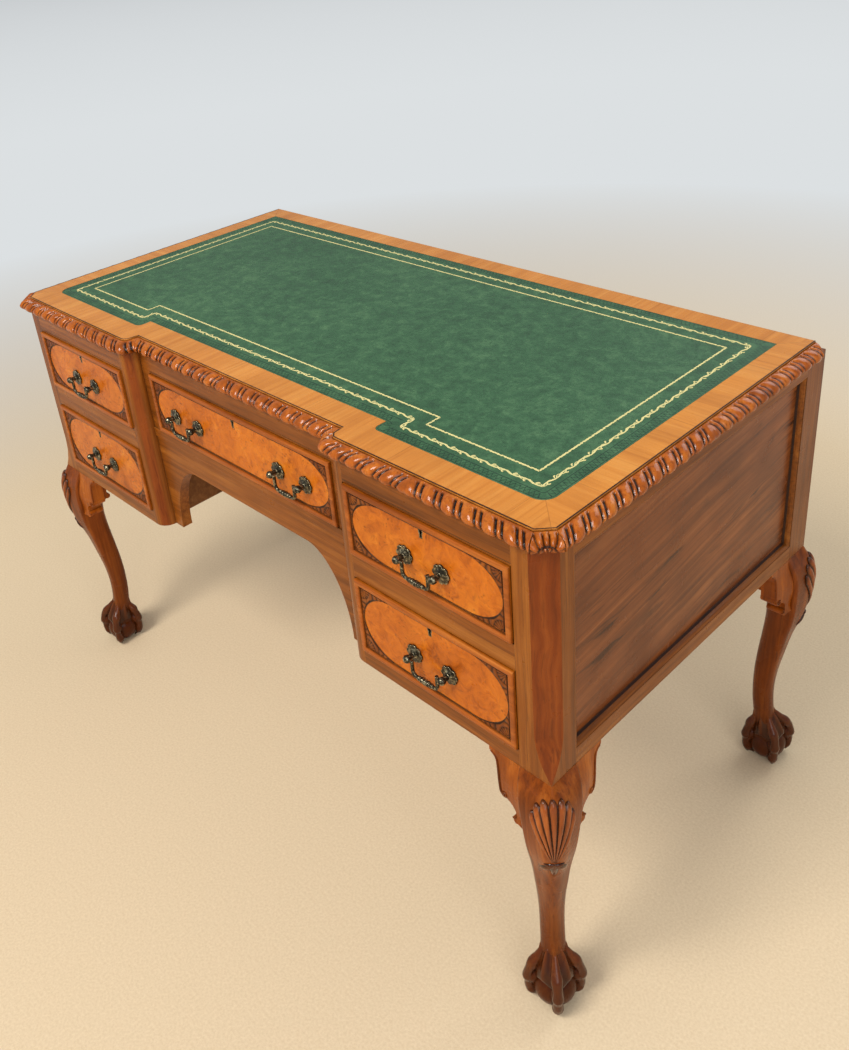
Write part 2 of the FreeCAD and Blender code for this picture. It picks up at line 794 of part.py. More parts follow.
# Rounded stiles at the pedestals' inner front corners
def inner_stile():
    """The right stile: a quarter round that turns the front face into the recess."""
    near, far = size("step_half_width"), size("stile_outer")
    front, back = size("front_face"), size("rail_back")
    bend = size("step_depth")
    slack = bend * (1 - math.sqrt(0.5))
    low = Vector(0, 0, size("leg_height"))
    points = [Vector(far, front, 0), Vector(far, back, 0), Vector(near, back, 0), Vector(near, front + bend, 0)]
    edges = [line(first + low, second + low) for first, second in zip(points, points[1:])]
    edges.append(arc(points[-1] + low, Vector(near + slack, front + slack, 0) + low, Vector(near + bend, front, 0) + low))
    edges.append(line(Vector(near + bend, front, 0) + low, points[0] + low))
    return Part.Face(Part.Wire(edges)).extrude(Vector(0, 0, size("carcass_height")))


keep_pair("inner_stile", shaped("inner_stile_right", inner_stile()))


# Rails between the posts and stiles
def front_rail(name, bottom, height):
    return block(name, ("stile_outer", "front_face", bottom), ("opening_width", "rail_depth", height))


pedestal_rails = [
    front_rail("top_rail", "upper_opening_top", "top_rail_height"),
    front_rail("middle_rail", "middle_rail_bottom", "middle_rail_height"),
    front_rail("bottom_rail", "leg_height", "bottom_rail_height"),
]
group("front_rails_right", pedestal_rails)
group("front_rails_left", [mirrored(rail, rail.Name + "_left") for rail in pedestal_rails])

centre_top_rail = block(
    "centre_top_rail",
    ("-step_half_width", "recess_face", "upper_opening_top"),
    ("step_half_width * 2", "centre_frame_depth", "top_rail_height"),
)
drawer_rail = block(
    "centre_drawer_rail",
    ("-step_half_width", "recess_face - drawer_rail_proud", "drawer_rail_bottom"),
    ("step_half_width * 2", "centre_frame_depth + drawer_rail_proud", "drawer_rail_height"),
)
muntin = block(
    "centre_muntin",
    ("centre_opening_half", "recess_face", "centre_opening_bottom"),
    ("step_half_width - centre_opening_half", "centre_frame_depth", "centre_opening_height"),
)
group("centre_frame", [centre_top_rail, drawer_rail, muntin, mirrored(muntin, "centre_muntin_left")])


# Apron over the kneehole, with its arch
def apron_shape():
    """The apron board: a flat-topped arch whose ends fall away as quarter ellipses."""
    half, tall = size("step_half_width"), size("apron_height")
    low, face = size("leg_height"), size("recess_face")
    flat, foot = size("arch_flat_half"), size("arch_foot_half")
    rise, across = size("arch_rise"), size("arch_end_width")

    def quarter(hand):
        middle = Vector(hand * flat, face, low)
        if rise >= across:
            curve = Part.Ellipse(middle + Vector(0, 0, rise), middle + Vector(across, 0, 0), middle)
        else:
            curve = Part.Ellipse(middle + Vector(across, 0, 0), middle + Vector(0, 0, rise), middle)
        top, end = middle + Vector(0, 0, rise), middle + Vector(hand * across, 0, 0)
        between = middle + Vector(hand * across, 0, rise) * math.sqrt(0.5)
        bounds = sorted(curve.parameter(point) for point in (top, end))
        piece = Part.ArcOfEllipse(curve, *bounds)
        if piece.toShape().distToShape(Part.Vertex(between))[0] > size("seat_clearance"):
            piece = Part.ArcOfEllipse(curve, bounds[1], bounds[0] + math.pi * 2)
        return piece.toShape()

    edges = [
        line(Vector(-half, face, low), Vector(-foot, face, low)),
        quarter(-1),
        line(Vector(-flat, face, low + rise), Vector(flat, face, low + rise)),
        quarter(1),
        line(Vector(foot, face, low), Vector(half, face, low)),
        line(Vector(half, face, low), Vector(half, face, low + tall)),
        line(Vector(half, face, low + tall), Vector(-half, face, low + tall)),
        line(Vector(-half, face, low + tall), Vector(-half, face, low)),
    ]
    return closed_face(edges).extrude(Vector(0, size("apron_thickness"), 0))


keep("kneehole_apron", shaped("kneehole_apron", apron_shape()))

# Framed sides, inner panels, backs and floors
side_rails = []
for name, bottom in (("side_top_rail", "carcass_top - side_rail_height"), ("side_bottom_rail", "leg_height")):
    side_rails.append(block(
        name,
        ("side_frame_inner", "post_back", bottom),
        ("side_frame_thickness", "rear_post_front - post_back", "side_rail_height"),
    ))
group("side_rails", side_rails + [mirrored(rail, rail.Name + "_left") for rail in side_rails])

keep_pair("side_panel", block(
    "side_panel_right",
    ("carcass_side - side_panel_recess - side_panel_thickness", "post_back", "leg_height + side_rail_height"),
    ("side_panel_thickness", "rear_post_front - post_back", "carcass_height - side_rail_height * 2"),
))
inner_panel = block(
    "inner_panel_right",
    ("inner_panel_face", "rail_back", "floor_bottom"),
    ("inner_panel_thickness", "inner_post_front - rail_back", "carcass_top - floor_bottom"),
)
group("inner_panels", [inner_panel, mirrored(inner_panel, "inner_panel_left")])
keep("rear_top_rail", block(
    "rear_top_rail",
    ("-post_inner", "inner_post_front", "rear_rail_bottom"),
    ("post_inner * 2", "inner_post_square", "rear_rail_height"),
))
pedestal_back = block(
    "pedestal_back",
    ("step_half_width + inner_post_square", "back_panel_front", "floor_bottom"),
    ("post_inner - step_half_width - inner_post_square", "back_panel_thickness", "rear_rail_bottom - floor_bottom"),
)
centre_back = block(
    "centre_back",
    ("-step_half_width", "back_panel_front", "carcass_top - centre_back_height"),
    ("step_half_width * 2", "back_panel_thickness", "centre_back_height - rear_rail_height"),
)
group("back_panels", [pedestal_back, mirrored(pedestal_back, "pedestal_back_left"), centre_back])
floor_blank = block(
    "pedestal_floor_blank",
    ("inner_panel_back", "rail_back", "floor_bottom"),
    ("side_frame_inner - inner_panel_back", "back_panel_front - rail_back", "floor_thickness"),
)
pedestal_floor = floor_blank
for notch, post in (("front", nodes["front_post_right"]), ("rear", rear_blank), ("inner", inner_rear_post)):
    notched = doc.addObject("Part::Cut", "pedestal_floor_%s_notch" % notch)
    notched.Base = pedestal_floor
    notched.Tool = post
    pedestal_floor = notched
group("pedestal_floors", [pedestal_floor, mirrored(pedestal_floor, "pedestal_floor_left")])

# Runners under the drawers and guides beside them
runners = []
guides = []


def slide_pair(name, near, far, seat, below):
    """A runner and a guide at each side of a drawer opening.

    Each side is a name, the outer wall, the opening's edge, and where the pieces start and end.
    """
    for side, wall, edge, start, end in (near, far):
        lap = edge + (" + runner_lap" if side == "inner" else " - runner_lap")
        runner_ends = (wall, lap) if side == "inner" else (lap, wall)
        guide_ends = (wall, edge) if side == "inner" else (edge, wall)
        length = "%s - %s" % (end, start)
        runners.append(block(
            "%s_%s_runner" % (name, side),
            (runner_ends[0], start, below),
            ("%s - (%s)" % (runner_ends[1], runner_ends[0]), length, "%s - (%s)" % (seat, below)),
        ))
        guides.append(block(
            "%s_%s_guide" % (name, side),
            (guide_ends[0], start, seat),
            ("%s - (%s)" % (guide_ends[1], guide_ends[0]), length, "guide_height"),
        ))


inner_side = ("inner", "inner_panel_back", "stile_outer", "rail_back", "inner_post_front")
outer_side = ("outer", "side_frame_inner", "post_inner", "post_back", "rear_post_front")
slide_pair("upper", inner_side, outer_side, "upper_seat", "upper_seat - runner_height")
slide_pair("lower", inner_side, outer_side, "lower_seat", "floor_top")
right_runners = list(runners)
right_guides = list(guides)
runners.extend(mirrored(runner, runner.Name + "_left") for runner in right_runners)
guides.extend(mirrored(guide, guide.Name + "_left") for guide in right_guides)
slide_pair(
    "centre",
    ("inner", "-inner_panel_face", "-centre_opening_half", "centre_frame_back", "inner_post_front"),
    ("outer", "inner_panel_face", "centre_opening_half", "centre_frame_back", "inner_post_front"),
    "centre_seat",
    "centre_seat - runner_height",
)
group("drawer_runners", runners)
group("drawer_guides", guides)


# Drop handles
ROSE_LOBES = 8
# Beads along the bail's middle: place in pitches from the centre, and radius as a share of the largest
BEAD_SHARES = ((-2, 0.78), (-1, 0.92), (0, 1.0), (1, 0.92), (2, 0.78))
NUT_SIDES = 6


def ring_around(count, radius):
    """Evenly spaced points on a circle across the Y axis."""
    turns = [math.pi * 2 * step / count for step in range(count)]
    return [Vector(radius * math.cos(turn), 0, radius * math.sin(turn)) for turn in turns]


def handle_mount(hand):
    """A lobed rose with its knobbed post and stud, at the origin of the drawer's field."""
    outward = Vector(0, -1, 0)
    thick = size("rose_thickness")
    hub = size("rose_radius") - size("lobe_radius")
    rose = Part.makeCylinder(hub, thick, Vector(0, 0, 0), outward)
    lobes = [Part.makeCylinder(size("lobe_radius"), thick, point, outward)
             for point in ring_around(ROSE_LOBES, hub)]
    neck = Part.makeCylinder(size("neck_radius"), size("knob_reach"), Vector(0, 0, 0), outward)
    collar = Part.makeCone(hub, size("neck_radius"), thick, outward * thick, outward)
    knob = Part.makeSphere(size("knob_radius"), outward * size("knob_reach"))
    back = size("drawer_front_thickness") - size("bead_depth") + size("nut_thickness")
    stud = Part.makeCylinder(size("stud_radius"), back, Vector(0, 0, 0), Vector(0, 1, 0))
    socket = Part.makeCylinder(
        size("pivot_radius") + size("pivot_clearance"),
        size("knob_radius"),
        outward * size("knob_reach") - Vector(hand * (size("knob_radius") - size("pivot_length")), 0, 0),
        Vector(-hand, 0, 0),
    )
    return rose.fuse(lobes + [collar, neck, knob, stud]).removeSplitter().cut(socket)


def handle_nut():
    """The nut that draws a post's stud up behind the drawer front."""
    base = Vector(0, size("drawer_front_thickness") - size("bead_depth"), 0)
    flats = polygon([point + base for point in ring_around(NUT_SIDES, size("nut_radius"))])
    nut = flats.extrude(Vector(0, size("nut_thickness"), 0))
    bore_radius = size("stud_radius") + size("stud_clearance")
    return nut.cut(Part.makeCylinder(bore_radius, size("nut_thickness"), base, Vector(0, 1, 0)))


def bail_shape():
    """The bail hanging between two knobs, with its pivots on the X axis and beads in its middle."""
    wire, bend, drop = size("bail_radius"), size("bail_bend"), size("bail_drop")
    knob = size("handle_spacing") / 2 - size("knob_radius")
    arm = knob - size("bail_gap") - wire
    slack = bend * (1 - math.sqrt(0.5))
    ends = {}
    for hand in (-1, 1):
        ends[hand] = {
            "head": Vector(hand * arm, 0, wire),
            "knee": Vector(hand * arm, 0, bend - drop),
            "turn": Vector(hand * (arm - slack), 0, slack - drop),
            "foot": Vector(hand * (arm - bend), 0, -drop),
        }
    left, right = ends[-1], ends[1]
    path = Part.Wire([
        line(left["head"], left["knee"]),
        arc(left["knee"], left["turn"], left["foot"]),
        line(left["foot"], right["foot"]),
        arc(right["foot"], right["turn"], right["knee"]),
        line(right["knee"], right["head"]),
    ])
    section = Part.Wire(Part.Circle(left["head"], Vector(0, 0, 1), wire).toShape())
    bail = path.makePipeShell([section], True, False)
    for step, share in BEAD_SHARES:
        spot = Vector(step * size("bead_pitch"), 0, -drop)
        bail = bail.fuse(Part.makeSphere(size("bead_radius") * share, spot, Vector(1, 0, 0)))
    for hand in (-1, 1):
        length = knob + size("pivot_length") - arm
        bail = bail.fuse(Part.makeCylinder(size("pivot_radius"), length, Vector(hand * arm, 0, 0), Vector(hand, 0, 0)))
    return bail


def keyhole_face(margin):
    """A keyhole outline in the XZ plane, widened by a margin."""
    radius, slot = size("keyhole_radius") + margin, size("keyhole_slot") / 2 + margin
    low = -size("keyhole_length") - margin
    shoulder = -math.sqrt(radius ** 2 - slot ** 2)
    left, right = Vector(-slot, 0, shoulder), Vector(slot, 0, shoulder)
    edges = [
        arc(left, Vector(0, 0, radius), right),
        line(right, Vector(slot, 0, low)),
        line(Vector(slot, 0, low), Vector(-slot, 0, low)),
        line(Vector(-slot, 0, low), left),
    ]
    return Part.Face(Part.Wire(edges))


mount_forms = {hand: handle_mount(hand) for hand in (-1, 1)}
nut_form = handle_nut()
bail_form = bail_shape()


# Drawers
def lip_edges(shape, level):
    """Names of the edges that lie in the plane of the drawer's lip."""
    names = []
    for index, edge in enumerate(shape.Edges, 1):
        if all(abs(vertex.Y - level) < Part.Precision.confusion() for vertex in edge.Vertexes):
            names.append("Edge%d" % index)
    return names


def drawer_front(name, kind, centre, handles):
    """A drawer front: a raised bead round a sunk field, bored for the handle studs."""
    body = new_body(name, (centre, kind + "_lip", kind + "_front_bottom"))
    width, height = kind + "_front_width", kind + "_front_height"
    outline = new_sketch(body, name + "_outline", "XZ_Plane")
    rectangle(outline, "-%s / 2" % width, "0 * drawer_gap", width, height)
    pad(body, name + "_board", outline, "drawer_front_thickness", inward=True)
    field = new_sketch(body, name + "_field_outline", "XZ_Plane")
    rectangle(field, "bead_width - %s / 2" % width, "bead_width", width + " - bead_width * 2", height + " - bead_width * 2")
    sunk = pocket(body, name + "_field", field, "bead_depth")
    rounds = body.newObject("PartDesign::Fillet", name + "_bead")
    rounds.Base = (sunk, lip_edges(sunk.Shape, 0))
    rounds.setExpression("Radius", formula("bead_round"))
    doc.recompute()
    bores = new_sketch(body, name + "_stud_places", "XZ_Plane")
    for handle in handles:
        for hand in ("-", "+"):
            circle(bores, "%s %s handle_spacing / 2" % (handle, hand), height + " / 2 - handle_drop",
                   "stud_radius + stud_clearance")
    pocket(body, name + "_studs", bores, "drawer_front_thickness + cut_overrun")
    return body


def drawer_box(name, kind, centre):
    """The two grooved sides, the back and the bottom of a drawer."""
    start, outside, depth = kind + "_front_back", kind + "_box_width", kind + "_box_depth"
    side_bottom, side_height = kind + "_side_bottom", kind + "_side_height"
    panel_bottom = side_bottom + " + drawer_bottom_rise"
    pieces = []
    for hand, left, groove in (
        ("left", "%s - %s / 2" % (centre, outside), "drawer_side_thickness - drawer_groove"),
        ("right", "%s + %s / 2 - drawer_side_thickness" % (centre, outside), "0 * drawer_groove"),
    ):
        side = doc.addObject("Part::Cut", "%s_%s_side" % (name, hand))
        side.Base = block("%s_%s_board" % (name, hand), (left, start, side_bottom),
                          ("drawer_side_thickness", depth, side_height))
        side.Tool = block("%s_%s_groove" % (name, hand), ("%s + %s" % (left, groove), start, panel_bottom),
                          ("drawer_groove", depth, "drawer_bottom_thickness"))
        pieces.append(side)
    inside = outside + " - drawer_side_thickness * 2"
    pieces.append(block(
        name + "_back",
        ("%s - (%s) / 2" % (centre, inside), "%s + %s - drawer_side_thickness" % (start, depth),
         panel_bottom + " + drawer_bottom_thickness"),
        (inside, "drawer_side_thickness", side_height + " - drawer_bottom_rise - drawer_bottom_thickness"),
    ))
    panel = block(
        name + "_bottom",
        ("%s - (%s) / 2 - drawer_groove" % (centre, inside), start, panel_bottom),
        (inside + " + drawer_groove * 2", depth, "drawer_bottom_thickness"),
    )
    return pieces, panel


def drawer_brass(kind, across, handles):
    """The keyhole liner, the lock, and each handle's posts and nuts."""
    key_spot = Vector(across, size(kind + "_field"), size(kind + "_key_level"))
    wall = size("escutcheon_wall")
    liner = keyhole_face(wall).cut(keyhole_face(0)).extrude(Vector(0, size("escutcheon_length"), 0))
    liner.translate(key_spot)
    lock_top = size(kind + "_front_top") - size("lock_drop")
    lock_corner = Vector(across - size("lock_width") / 2, size(kind + "_front_back"), lock_top - size("lock_height"))
    lock = Part.makeBox(size("lock_width"), size("lock_thickness"), size("lock_height"), lock_corner)
    brass = [liner, lock]
    for handle in handles:
        for hand in (-1, 1):
            spot = Vector(handle + hand * size("handle_spacing") / 2, size(kind + "_field"), size(kind + "_handle_level"))
            for form in (mount_forms[hand], nut_form):
                copy = form.copy()
                copy.translate(spot)
                brass.append(copy)
    return Part.makeCompound(brass)


def bail_place(kind, across):
    """Where a bail hangs between its two knobs."""
    pivot = Vector(across, size(kind + "_field") - size("knob_reach"), size(kind + "_handle_level"))
    return FreeCAD.Placement(pivot, FreeCAD.Rotation())


def drawer(label, kind, centre, handles):
    """Every node of one drawer but its bails: front, box, bottom and brassware."""
    board = drawer_front(label + "_board", kind, centre, handles)
    across = board.Placement.Base.x
    front = doc.addObject("Part::Cut", label + "_front")
    front.Base = board
    key_cut = keyhole_face(size("escutcheon_wall")).extrude(Vector(0, size("drawer_front_thickness"), 0))
    key_spot = Vector(across, size(kind + "_field"), size(kind + "_key_level"))
    front.Tool = shaped(label + "_key_cut", key_cut, FreeCAD.Placement(key_spot, FreeCAD.Rotation()))
    keep(label + "_front", front)
    box, panel = drawer_box(label, kind, centre)
    group(label + "_box", box)
    keep(label + "_bottom", panel)
    offsets = [0] if kind != "centre" else [-size("centre_handle_offset"), size("centre_handle_offset")]
    brass = drawer_brass(kind, across, [across + offset for offset in offsets])
    keep(label + "_brassware", shaped(label + "_brassware", brass))
    return box


def left_drawer(kind, right_label, box):
    """The left-hand twin of a right-hand drawer."""
    label = "drawer_%s_left" % kind
    for piece in ("front", "bottom"):
        twin_label = "%s_%s" % (label, piece)
        keep(twin_label, mirrored(nodes["%s_%s" % (right_label, piece)], twin_label))
    group(label + "_box", [mirrored(piece, piece.Name + "_twin") for piece in box])
    across = -size("pedestal_centre")
    keep(label + "_brassware", shaped(label + "_brassware", drawer_brass(kind, across, [across])))


def keep_bails(kind, across):
    """The two bails that hang at one height, one on each side of the desk's middle."""
    for side_name, hand in (("left", -1), ("right", 1)):
        label = "bail_%s_%s" % (kind, side_name)
        keep(label, shaped(label, bail_form, bail_place(kind, hand * across)))


for kind in ("upper", "lower"):
    right_label = "drawer_%s_right" % kind
    right_box = drawer(right_label, kind, "pedestal_centre", ["0 * handle_drop"])
    left_drawer(kind, right_label, right_box)
    keep_bails(kind, size("pedestal_centre"))
drawer("drawer_centre", "centre", "0 * step_half_width", ["-centre_handle_offset", "centre_handle_offset"])
keep_bails("centre", size("centre_handle_offset"))

doc.recompute()

# Check every object, then write the nodes
for item in doc.Objects:
    if "Invalid" in item.State or "Error" in item.State:
        raise RuntimeError("%s did not build: %s" % (item.Name, item.State))
for label, piece in nodes.items():
    if piece.Shape.isNull() or not piece.Shape.isValid():
        raise RuntimeError("%s has no valid shape" % label)

os.makedirs("parts", exist_ok=True)
for label, piece in nodes.items():
    piece.Shape.exportStep("parts/%s.step" % label)
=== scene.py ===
"""Kneehole desk: veneers, carving, leather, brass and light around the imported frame."""
import cmath
import math

import bmesh
import bpy
from mathutils import Matrix, Vector
from mathutils.bvhtree import BVHTree


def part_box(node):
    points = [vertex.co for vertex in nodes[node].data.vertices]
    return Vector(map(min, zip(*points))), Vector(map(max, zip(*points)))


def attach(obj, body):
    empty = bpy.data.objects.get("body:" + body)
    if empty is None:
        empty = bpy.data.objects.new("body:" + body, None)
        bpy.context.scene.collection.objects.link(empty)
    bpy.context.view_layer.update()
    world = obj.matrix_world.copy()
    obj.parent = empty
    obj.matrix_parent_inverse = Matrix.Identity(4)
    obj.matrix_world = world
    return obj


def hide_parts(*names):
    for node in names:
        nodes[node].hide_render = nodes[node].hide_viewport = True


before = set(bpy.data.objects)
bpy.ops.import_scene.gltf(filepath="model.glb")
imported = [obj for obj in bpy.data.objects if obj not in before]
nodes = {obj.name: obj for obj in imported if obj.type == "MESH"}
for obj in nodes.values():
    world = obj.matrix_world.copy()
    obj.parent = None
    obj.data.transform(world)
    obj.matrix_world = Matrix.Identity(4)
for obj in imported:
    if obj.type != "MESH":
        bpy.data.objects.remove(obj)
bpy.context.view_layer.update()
UP = Vector((0, 0, 1))
FACE = Vector((0, -1, 0))
HANDS = (("left", -1), ("right", 1))
# Planes of the carcass: sides, front of the pedestals, front over the kneehole, back, and top of the legs
SIDE, FRONT, RECESS, BACK, LEG_TOP = 0.593, -0.306, -0.2825, 0.308, 0.428
# How far the field of a drawer front stands in front of the rails
FIELD_PROUD = 0.001
# The leather: half width, front of the pedestals and of the kneehole, back, and half width of the step
HIDE_HALF, HIDE_FRONT, HIDE_RECESS, HIDE_BACK, HIDE_STEP = 0.554, -0.2545, -0.231, 0.243, 0.2795


# Materials
def rgb(red, green, blue):
    """A colour written in screen values from 0 to 255, as the linear colour that shaders use."""
    def linear(value):
        share = value / 255
        return share / 12.92 if share <= 0.04045 else ((share + 0.055) / 1.055) ** 2.4
    return (linear(red), linear(green), linear(blue), 1.0)


class Graph:
    """A material's node tree, with short calls for the nodes that the finishes share."""

    def __init__(self, name):
        self.material = bpy.data.materials.new(name)
        self.material.use_nodes = True
        self.tree = self.material.node_tree
        self.tree.nodes.clear()
        self.shader = self.node("BsdfPrincipled")
        self.end = self.node("OutputMaterial", Surface=self.shader.outputs[0])

    def put(self, socket, value):
        """Feed a socket from another socket, or set it to a constant."""
        if isinstance(value, bpy.types.NodeSocket):
            self.tree.links.new(value, socket)
        else:
            socket.default_value = value

    def node(self, kind, settings=None, **inputs):
        """Add a shader node; inputs are given by socket name, or by number as in_0."""
        made = self.tree.nodes.new("ShaderNode" + kind)
        for name, value in (settings or {}).items():
            setattr(made, name, value)
        for name, value in inputs.items():
            key = int(name[3:]) if name.startswith("in_") else name.replace("_", " ")
            self.put(made.inputs[key], value)
        return made

    def sums(self, operation, first, second=0.0, third=0.0):
        """One step of arithmetic."""
        made = self.node("Math", {"operation": operation}, in_0=first, in_1=second, in_2=third)
        return made.outputs[0]

    def vectors(self, operation, first, second):
        """One step of arithmetic on vectors."""
        return self.node("VectorMath", {"operation": operation}, in_0=first, in_1=second).outputs[0]

    def mix(self, share, first, second):
        """Two colours mixed by a share."""
        made = self.node("Mix", {"data_type": "RGBA"}, in_0=share, in_6=first, in_7=second)
        return made.outputs[2]

    def tint(self, colour, tone, mask, share):
        """A colour tinted with a tone where a mask says, up to a share."""
        return self.mix(self.sums("MULTIPLY", mask, share), colour, tone)

    def ramp(self, value, *stops):
        """A colour read from a row of stops."""
        made = self.node("ValToRGB", Fac=value)
        row = made.color_ramp.elements
        while len(row) < len(stops):
            row.new(0.5)
        for element, (place, colour) in zip(row, stops):
            element.position = place
            element.color = colour
        return made.outputs[0]

    def span(self, value, low, high, first=0.0, last=1.0):
        """A value stretched from one range to another and held at its ends."""
        made = self.node("MapRange", in_0=value, in_1=low, in_2=high, in_3=first, in_4=last)
        return made.outputs[0]

    def place(self):
        """The point on the piece, in the row frame at rest."""
        return self.node("TexCoord").outputs["Object"]

    def parts(self, vector):
        """The three numbers of a vector."""
        return self.node("SeparateXYZ", Vector=vector).outputs

    def turned(self, vector, angles=(0, 0, 0), scale=(1, 1, 1)):
        """A vector rotated, then stretched."""
        spun = self.node("VectorRotate", {"rotation_type": "EULER_XYZ"}, in_0=vector, in_4=angles)
        return self.vectors("MULTIPLY", spun.outputs[0], scale)

    def speckle(self, vector, scale, detail=2.0, rough=0.5, warp=0.0):
        """A noise value between 0 and 1."""
        made = self.node(
            "TexNoise", Vector=vector, Scale=scale, Detail=detail, Roughness=rough, Distortion=warp)
        return made.outputs[0]

    def drift(self, vector, scale, amount):
        """The same vector pushed about by a slow noise."""
        made = self.node("TexNoise", Vector=vector, Scale=scale, Detail=2.0)
        centred = self.vectors("SUBTRACT", made.outputs[1], (0.5, 0.5, 0.5))
        push = self.node("VectorMath", {"operation": "SCALE"}, in_0=centred, Scale=amount)
        return self.vectors("ADD", vector, push.outputs[0])

    def soft_edges(self, radius):
        """The normal rounded over edges, and how near an edge the point is."""
        soft = self.node("Bevel", {"samples": 6}, Radius=radius).outputs[0]
        flat = self.node("NewGeometry").outputs["Normal"]
        facing = self.node("VectorMath", {"operation": "DOT_PRODUCT"}, in_0=soft, in_1=flat)
        return soft, self.span(facing.outputs["Value"], 0.995, 0.80)

    def hollows(self, distance):
        """One in tight corners, zero in the open."""
        made = self.node("AmbientOcclusion", {"samples": 6}, Distance=distance)
        return self.span(made.outputs["AO"], 0.85, 0.25)

    def finish(self, colour, rough, height, depth, normal=None, coat=0.0, metal=0.0, shine=0.16, haze=0.16):
        """Close the tree with a colour, a roughness and a bump."""
        bump = self.node("Bump", Strength=1.0, Distance=depth, Height=height)
        if normal is not None:
            self.put(bump.inputs["Normal"], normal)
        for socket, value in (
            ("Base Color", colour), ("Roughness", rough), ("Normal", bump.outputs[0]), ("Metallic", metal),
            ("Coat Weight", coat), ("Coat Roughness", haze), ("Specular IOR Level", shine),
        ):
            self.put(self.shader.inputs[socket], value)
        return self.material


GRAIN_TURNS = {"x": (0, 0, 0), "y": (0, 0, math.pi / 2), "z": (0, math.pi / 2, 0)}


def grain(graph, vector, turn, dark, middle, light, across=1.0):
    """Straight-grained walnut: streaks, broad tone and fine pores. Gives a colour and the pores."""
    line = graph.turned(graph.drift(vector, 6.0, 0.010), turn)

    def fibres(along, wide, *noise):
        return graph.speckle(graph.turned(line, scale=(along, wide, wide)), 1.0, *noise)

    streaks = fibres(3.0, 120.0 * across, 5.0, 0.62, 0.35)
    broad = fibres(2.2, 22.0 * across, 3.0, 0.55, 0.8)
    lines = fibres(5.0, 330.0 * across, 3.0, 0.6, 0.2)
    pores = fibres(70.0, 1500.0, 2.0, 0.5)
    tone = graph.sums("MULTIPLY_ADD", streaks, 0.55, graph.sums("MULTIPLY", broad, 0.45))
    colour = graph.ramp(tone, (0.30, dark), (0.50, middle), (0.70, light))
    lined = graph.mix(graph.span(lines, 0.54, 0.68, 0.0, 0.55), colour, dark)
    return graph.tint(lined, dark, graph.span(pores, 0.36, 0.30), 0.45), pores


def polish(
    graph, colour, pores, shade_reach=0.012, edge=0.0012, coat=0.10, gloss=0.30, haze=0.16, shine=0.16, wear=0.22,
):
    """Old polish, thin on the edges; hollows and gaps between parts are darkened as painted shade."""
    normal, rim = graph.soft_edges(edge)
    smear = graph.speckle(graph.place(), 14.0, 4.0, 0.6)
    worn = graph.tint(colour, rgb(222, 150, 82), rim, wear)
    # painted shade: ambient occlusion darkens the hollows and the places between parts
    deep = graph.tint(worn, rgb(46, 22, 10), graph.hollows(shade_reach), 0.72)
    cloudy = graph.mix(graph.span(smear, 0.35, 0.75, 0.0, 0.16), deep, rgb(70, 34, 14))
    rough = graph.span(smear, 0.3, 0.7, gloss - 0.06, gloss + 0.10)
    return graph.finish(cloudy, rough, pores, 0.00012, normal, coat, shine=shine, haze=haze)


def walnut(name, run, dark, middle, light, **polishing):
    """Plain polished walnut with its grain along one axis."""
    graph = Graph(name)
    colour, pores = grain(graph, graph.place(), GRAIN_TURNS[run], dark, middle, light)
    return polish(graph, colour, pores, **polishing)


def figured(name, lean, dark, middle, light):
    """A side panel's veneer: fine slanting grain with dark flecks in patches."""
    graph = Graph(name)
    point = graph.place()
    colour, pores = grain(graph, point, lean, dark, middle, light, 1.2)
    line = graph.turned(graph.drift(point, 7.0, 0.03), lean, (8.0, 70.0, 70.0))
    flecks = graph.span(graph.speckle(line, 1.0, 4.0, 0.6, 0.5), 0.55, 0.66)
    patches = graph.span(graph.speckle(point, 6.0, 3.0, 0.6), 0.47, 0.60)
    marked = graph.tint(colour, rgb(44, 20, 10), graph.sums("MULTIPLY", flecks, patches), 0.80)
    sheen = graph.speckle(graph.drift(point, 4.0, 0.08), 7.0, 2.0, 0.5)
    shaded = graph.mix(graph.span(sheen, 0.40, 0.66, 0.0, 0.40), marked, dark)
    return polish(graph, shaded, pores, gloss=0.22, coat=0.12)


def post_veneer(name, tones, cant_tones):
    """Upright walnut whose canted face wears a redder veneer."""
    graph = Graph(name)
    point = graph.place()
    plain, pores = grain(graph, point, GRAIN_TURNS["z"], *tones)
    red, _ = grain(graph, graph.drift(point, 16.0, 0.012), GRAIN_TURNS["z"], *cant_tones, 0.7)
    normal = graph.parts(graph.node("NewGeometry").outputs["True Normal"])
    side = graph.sums("ABSOLUTE", normal[0])
    front = graph.sums("MULTIPLY", normal[1], -1.0)
    canted = graph.span(graph.sums("MINIMUM", side, front), 0.40, 0.50)
    return polish(graph, graph.mix(canted, plain, red), pores)


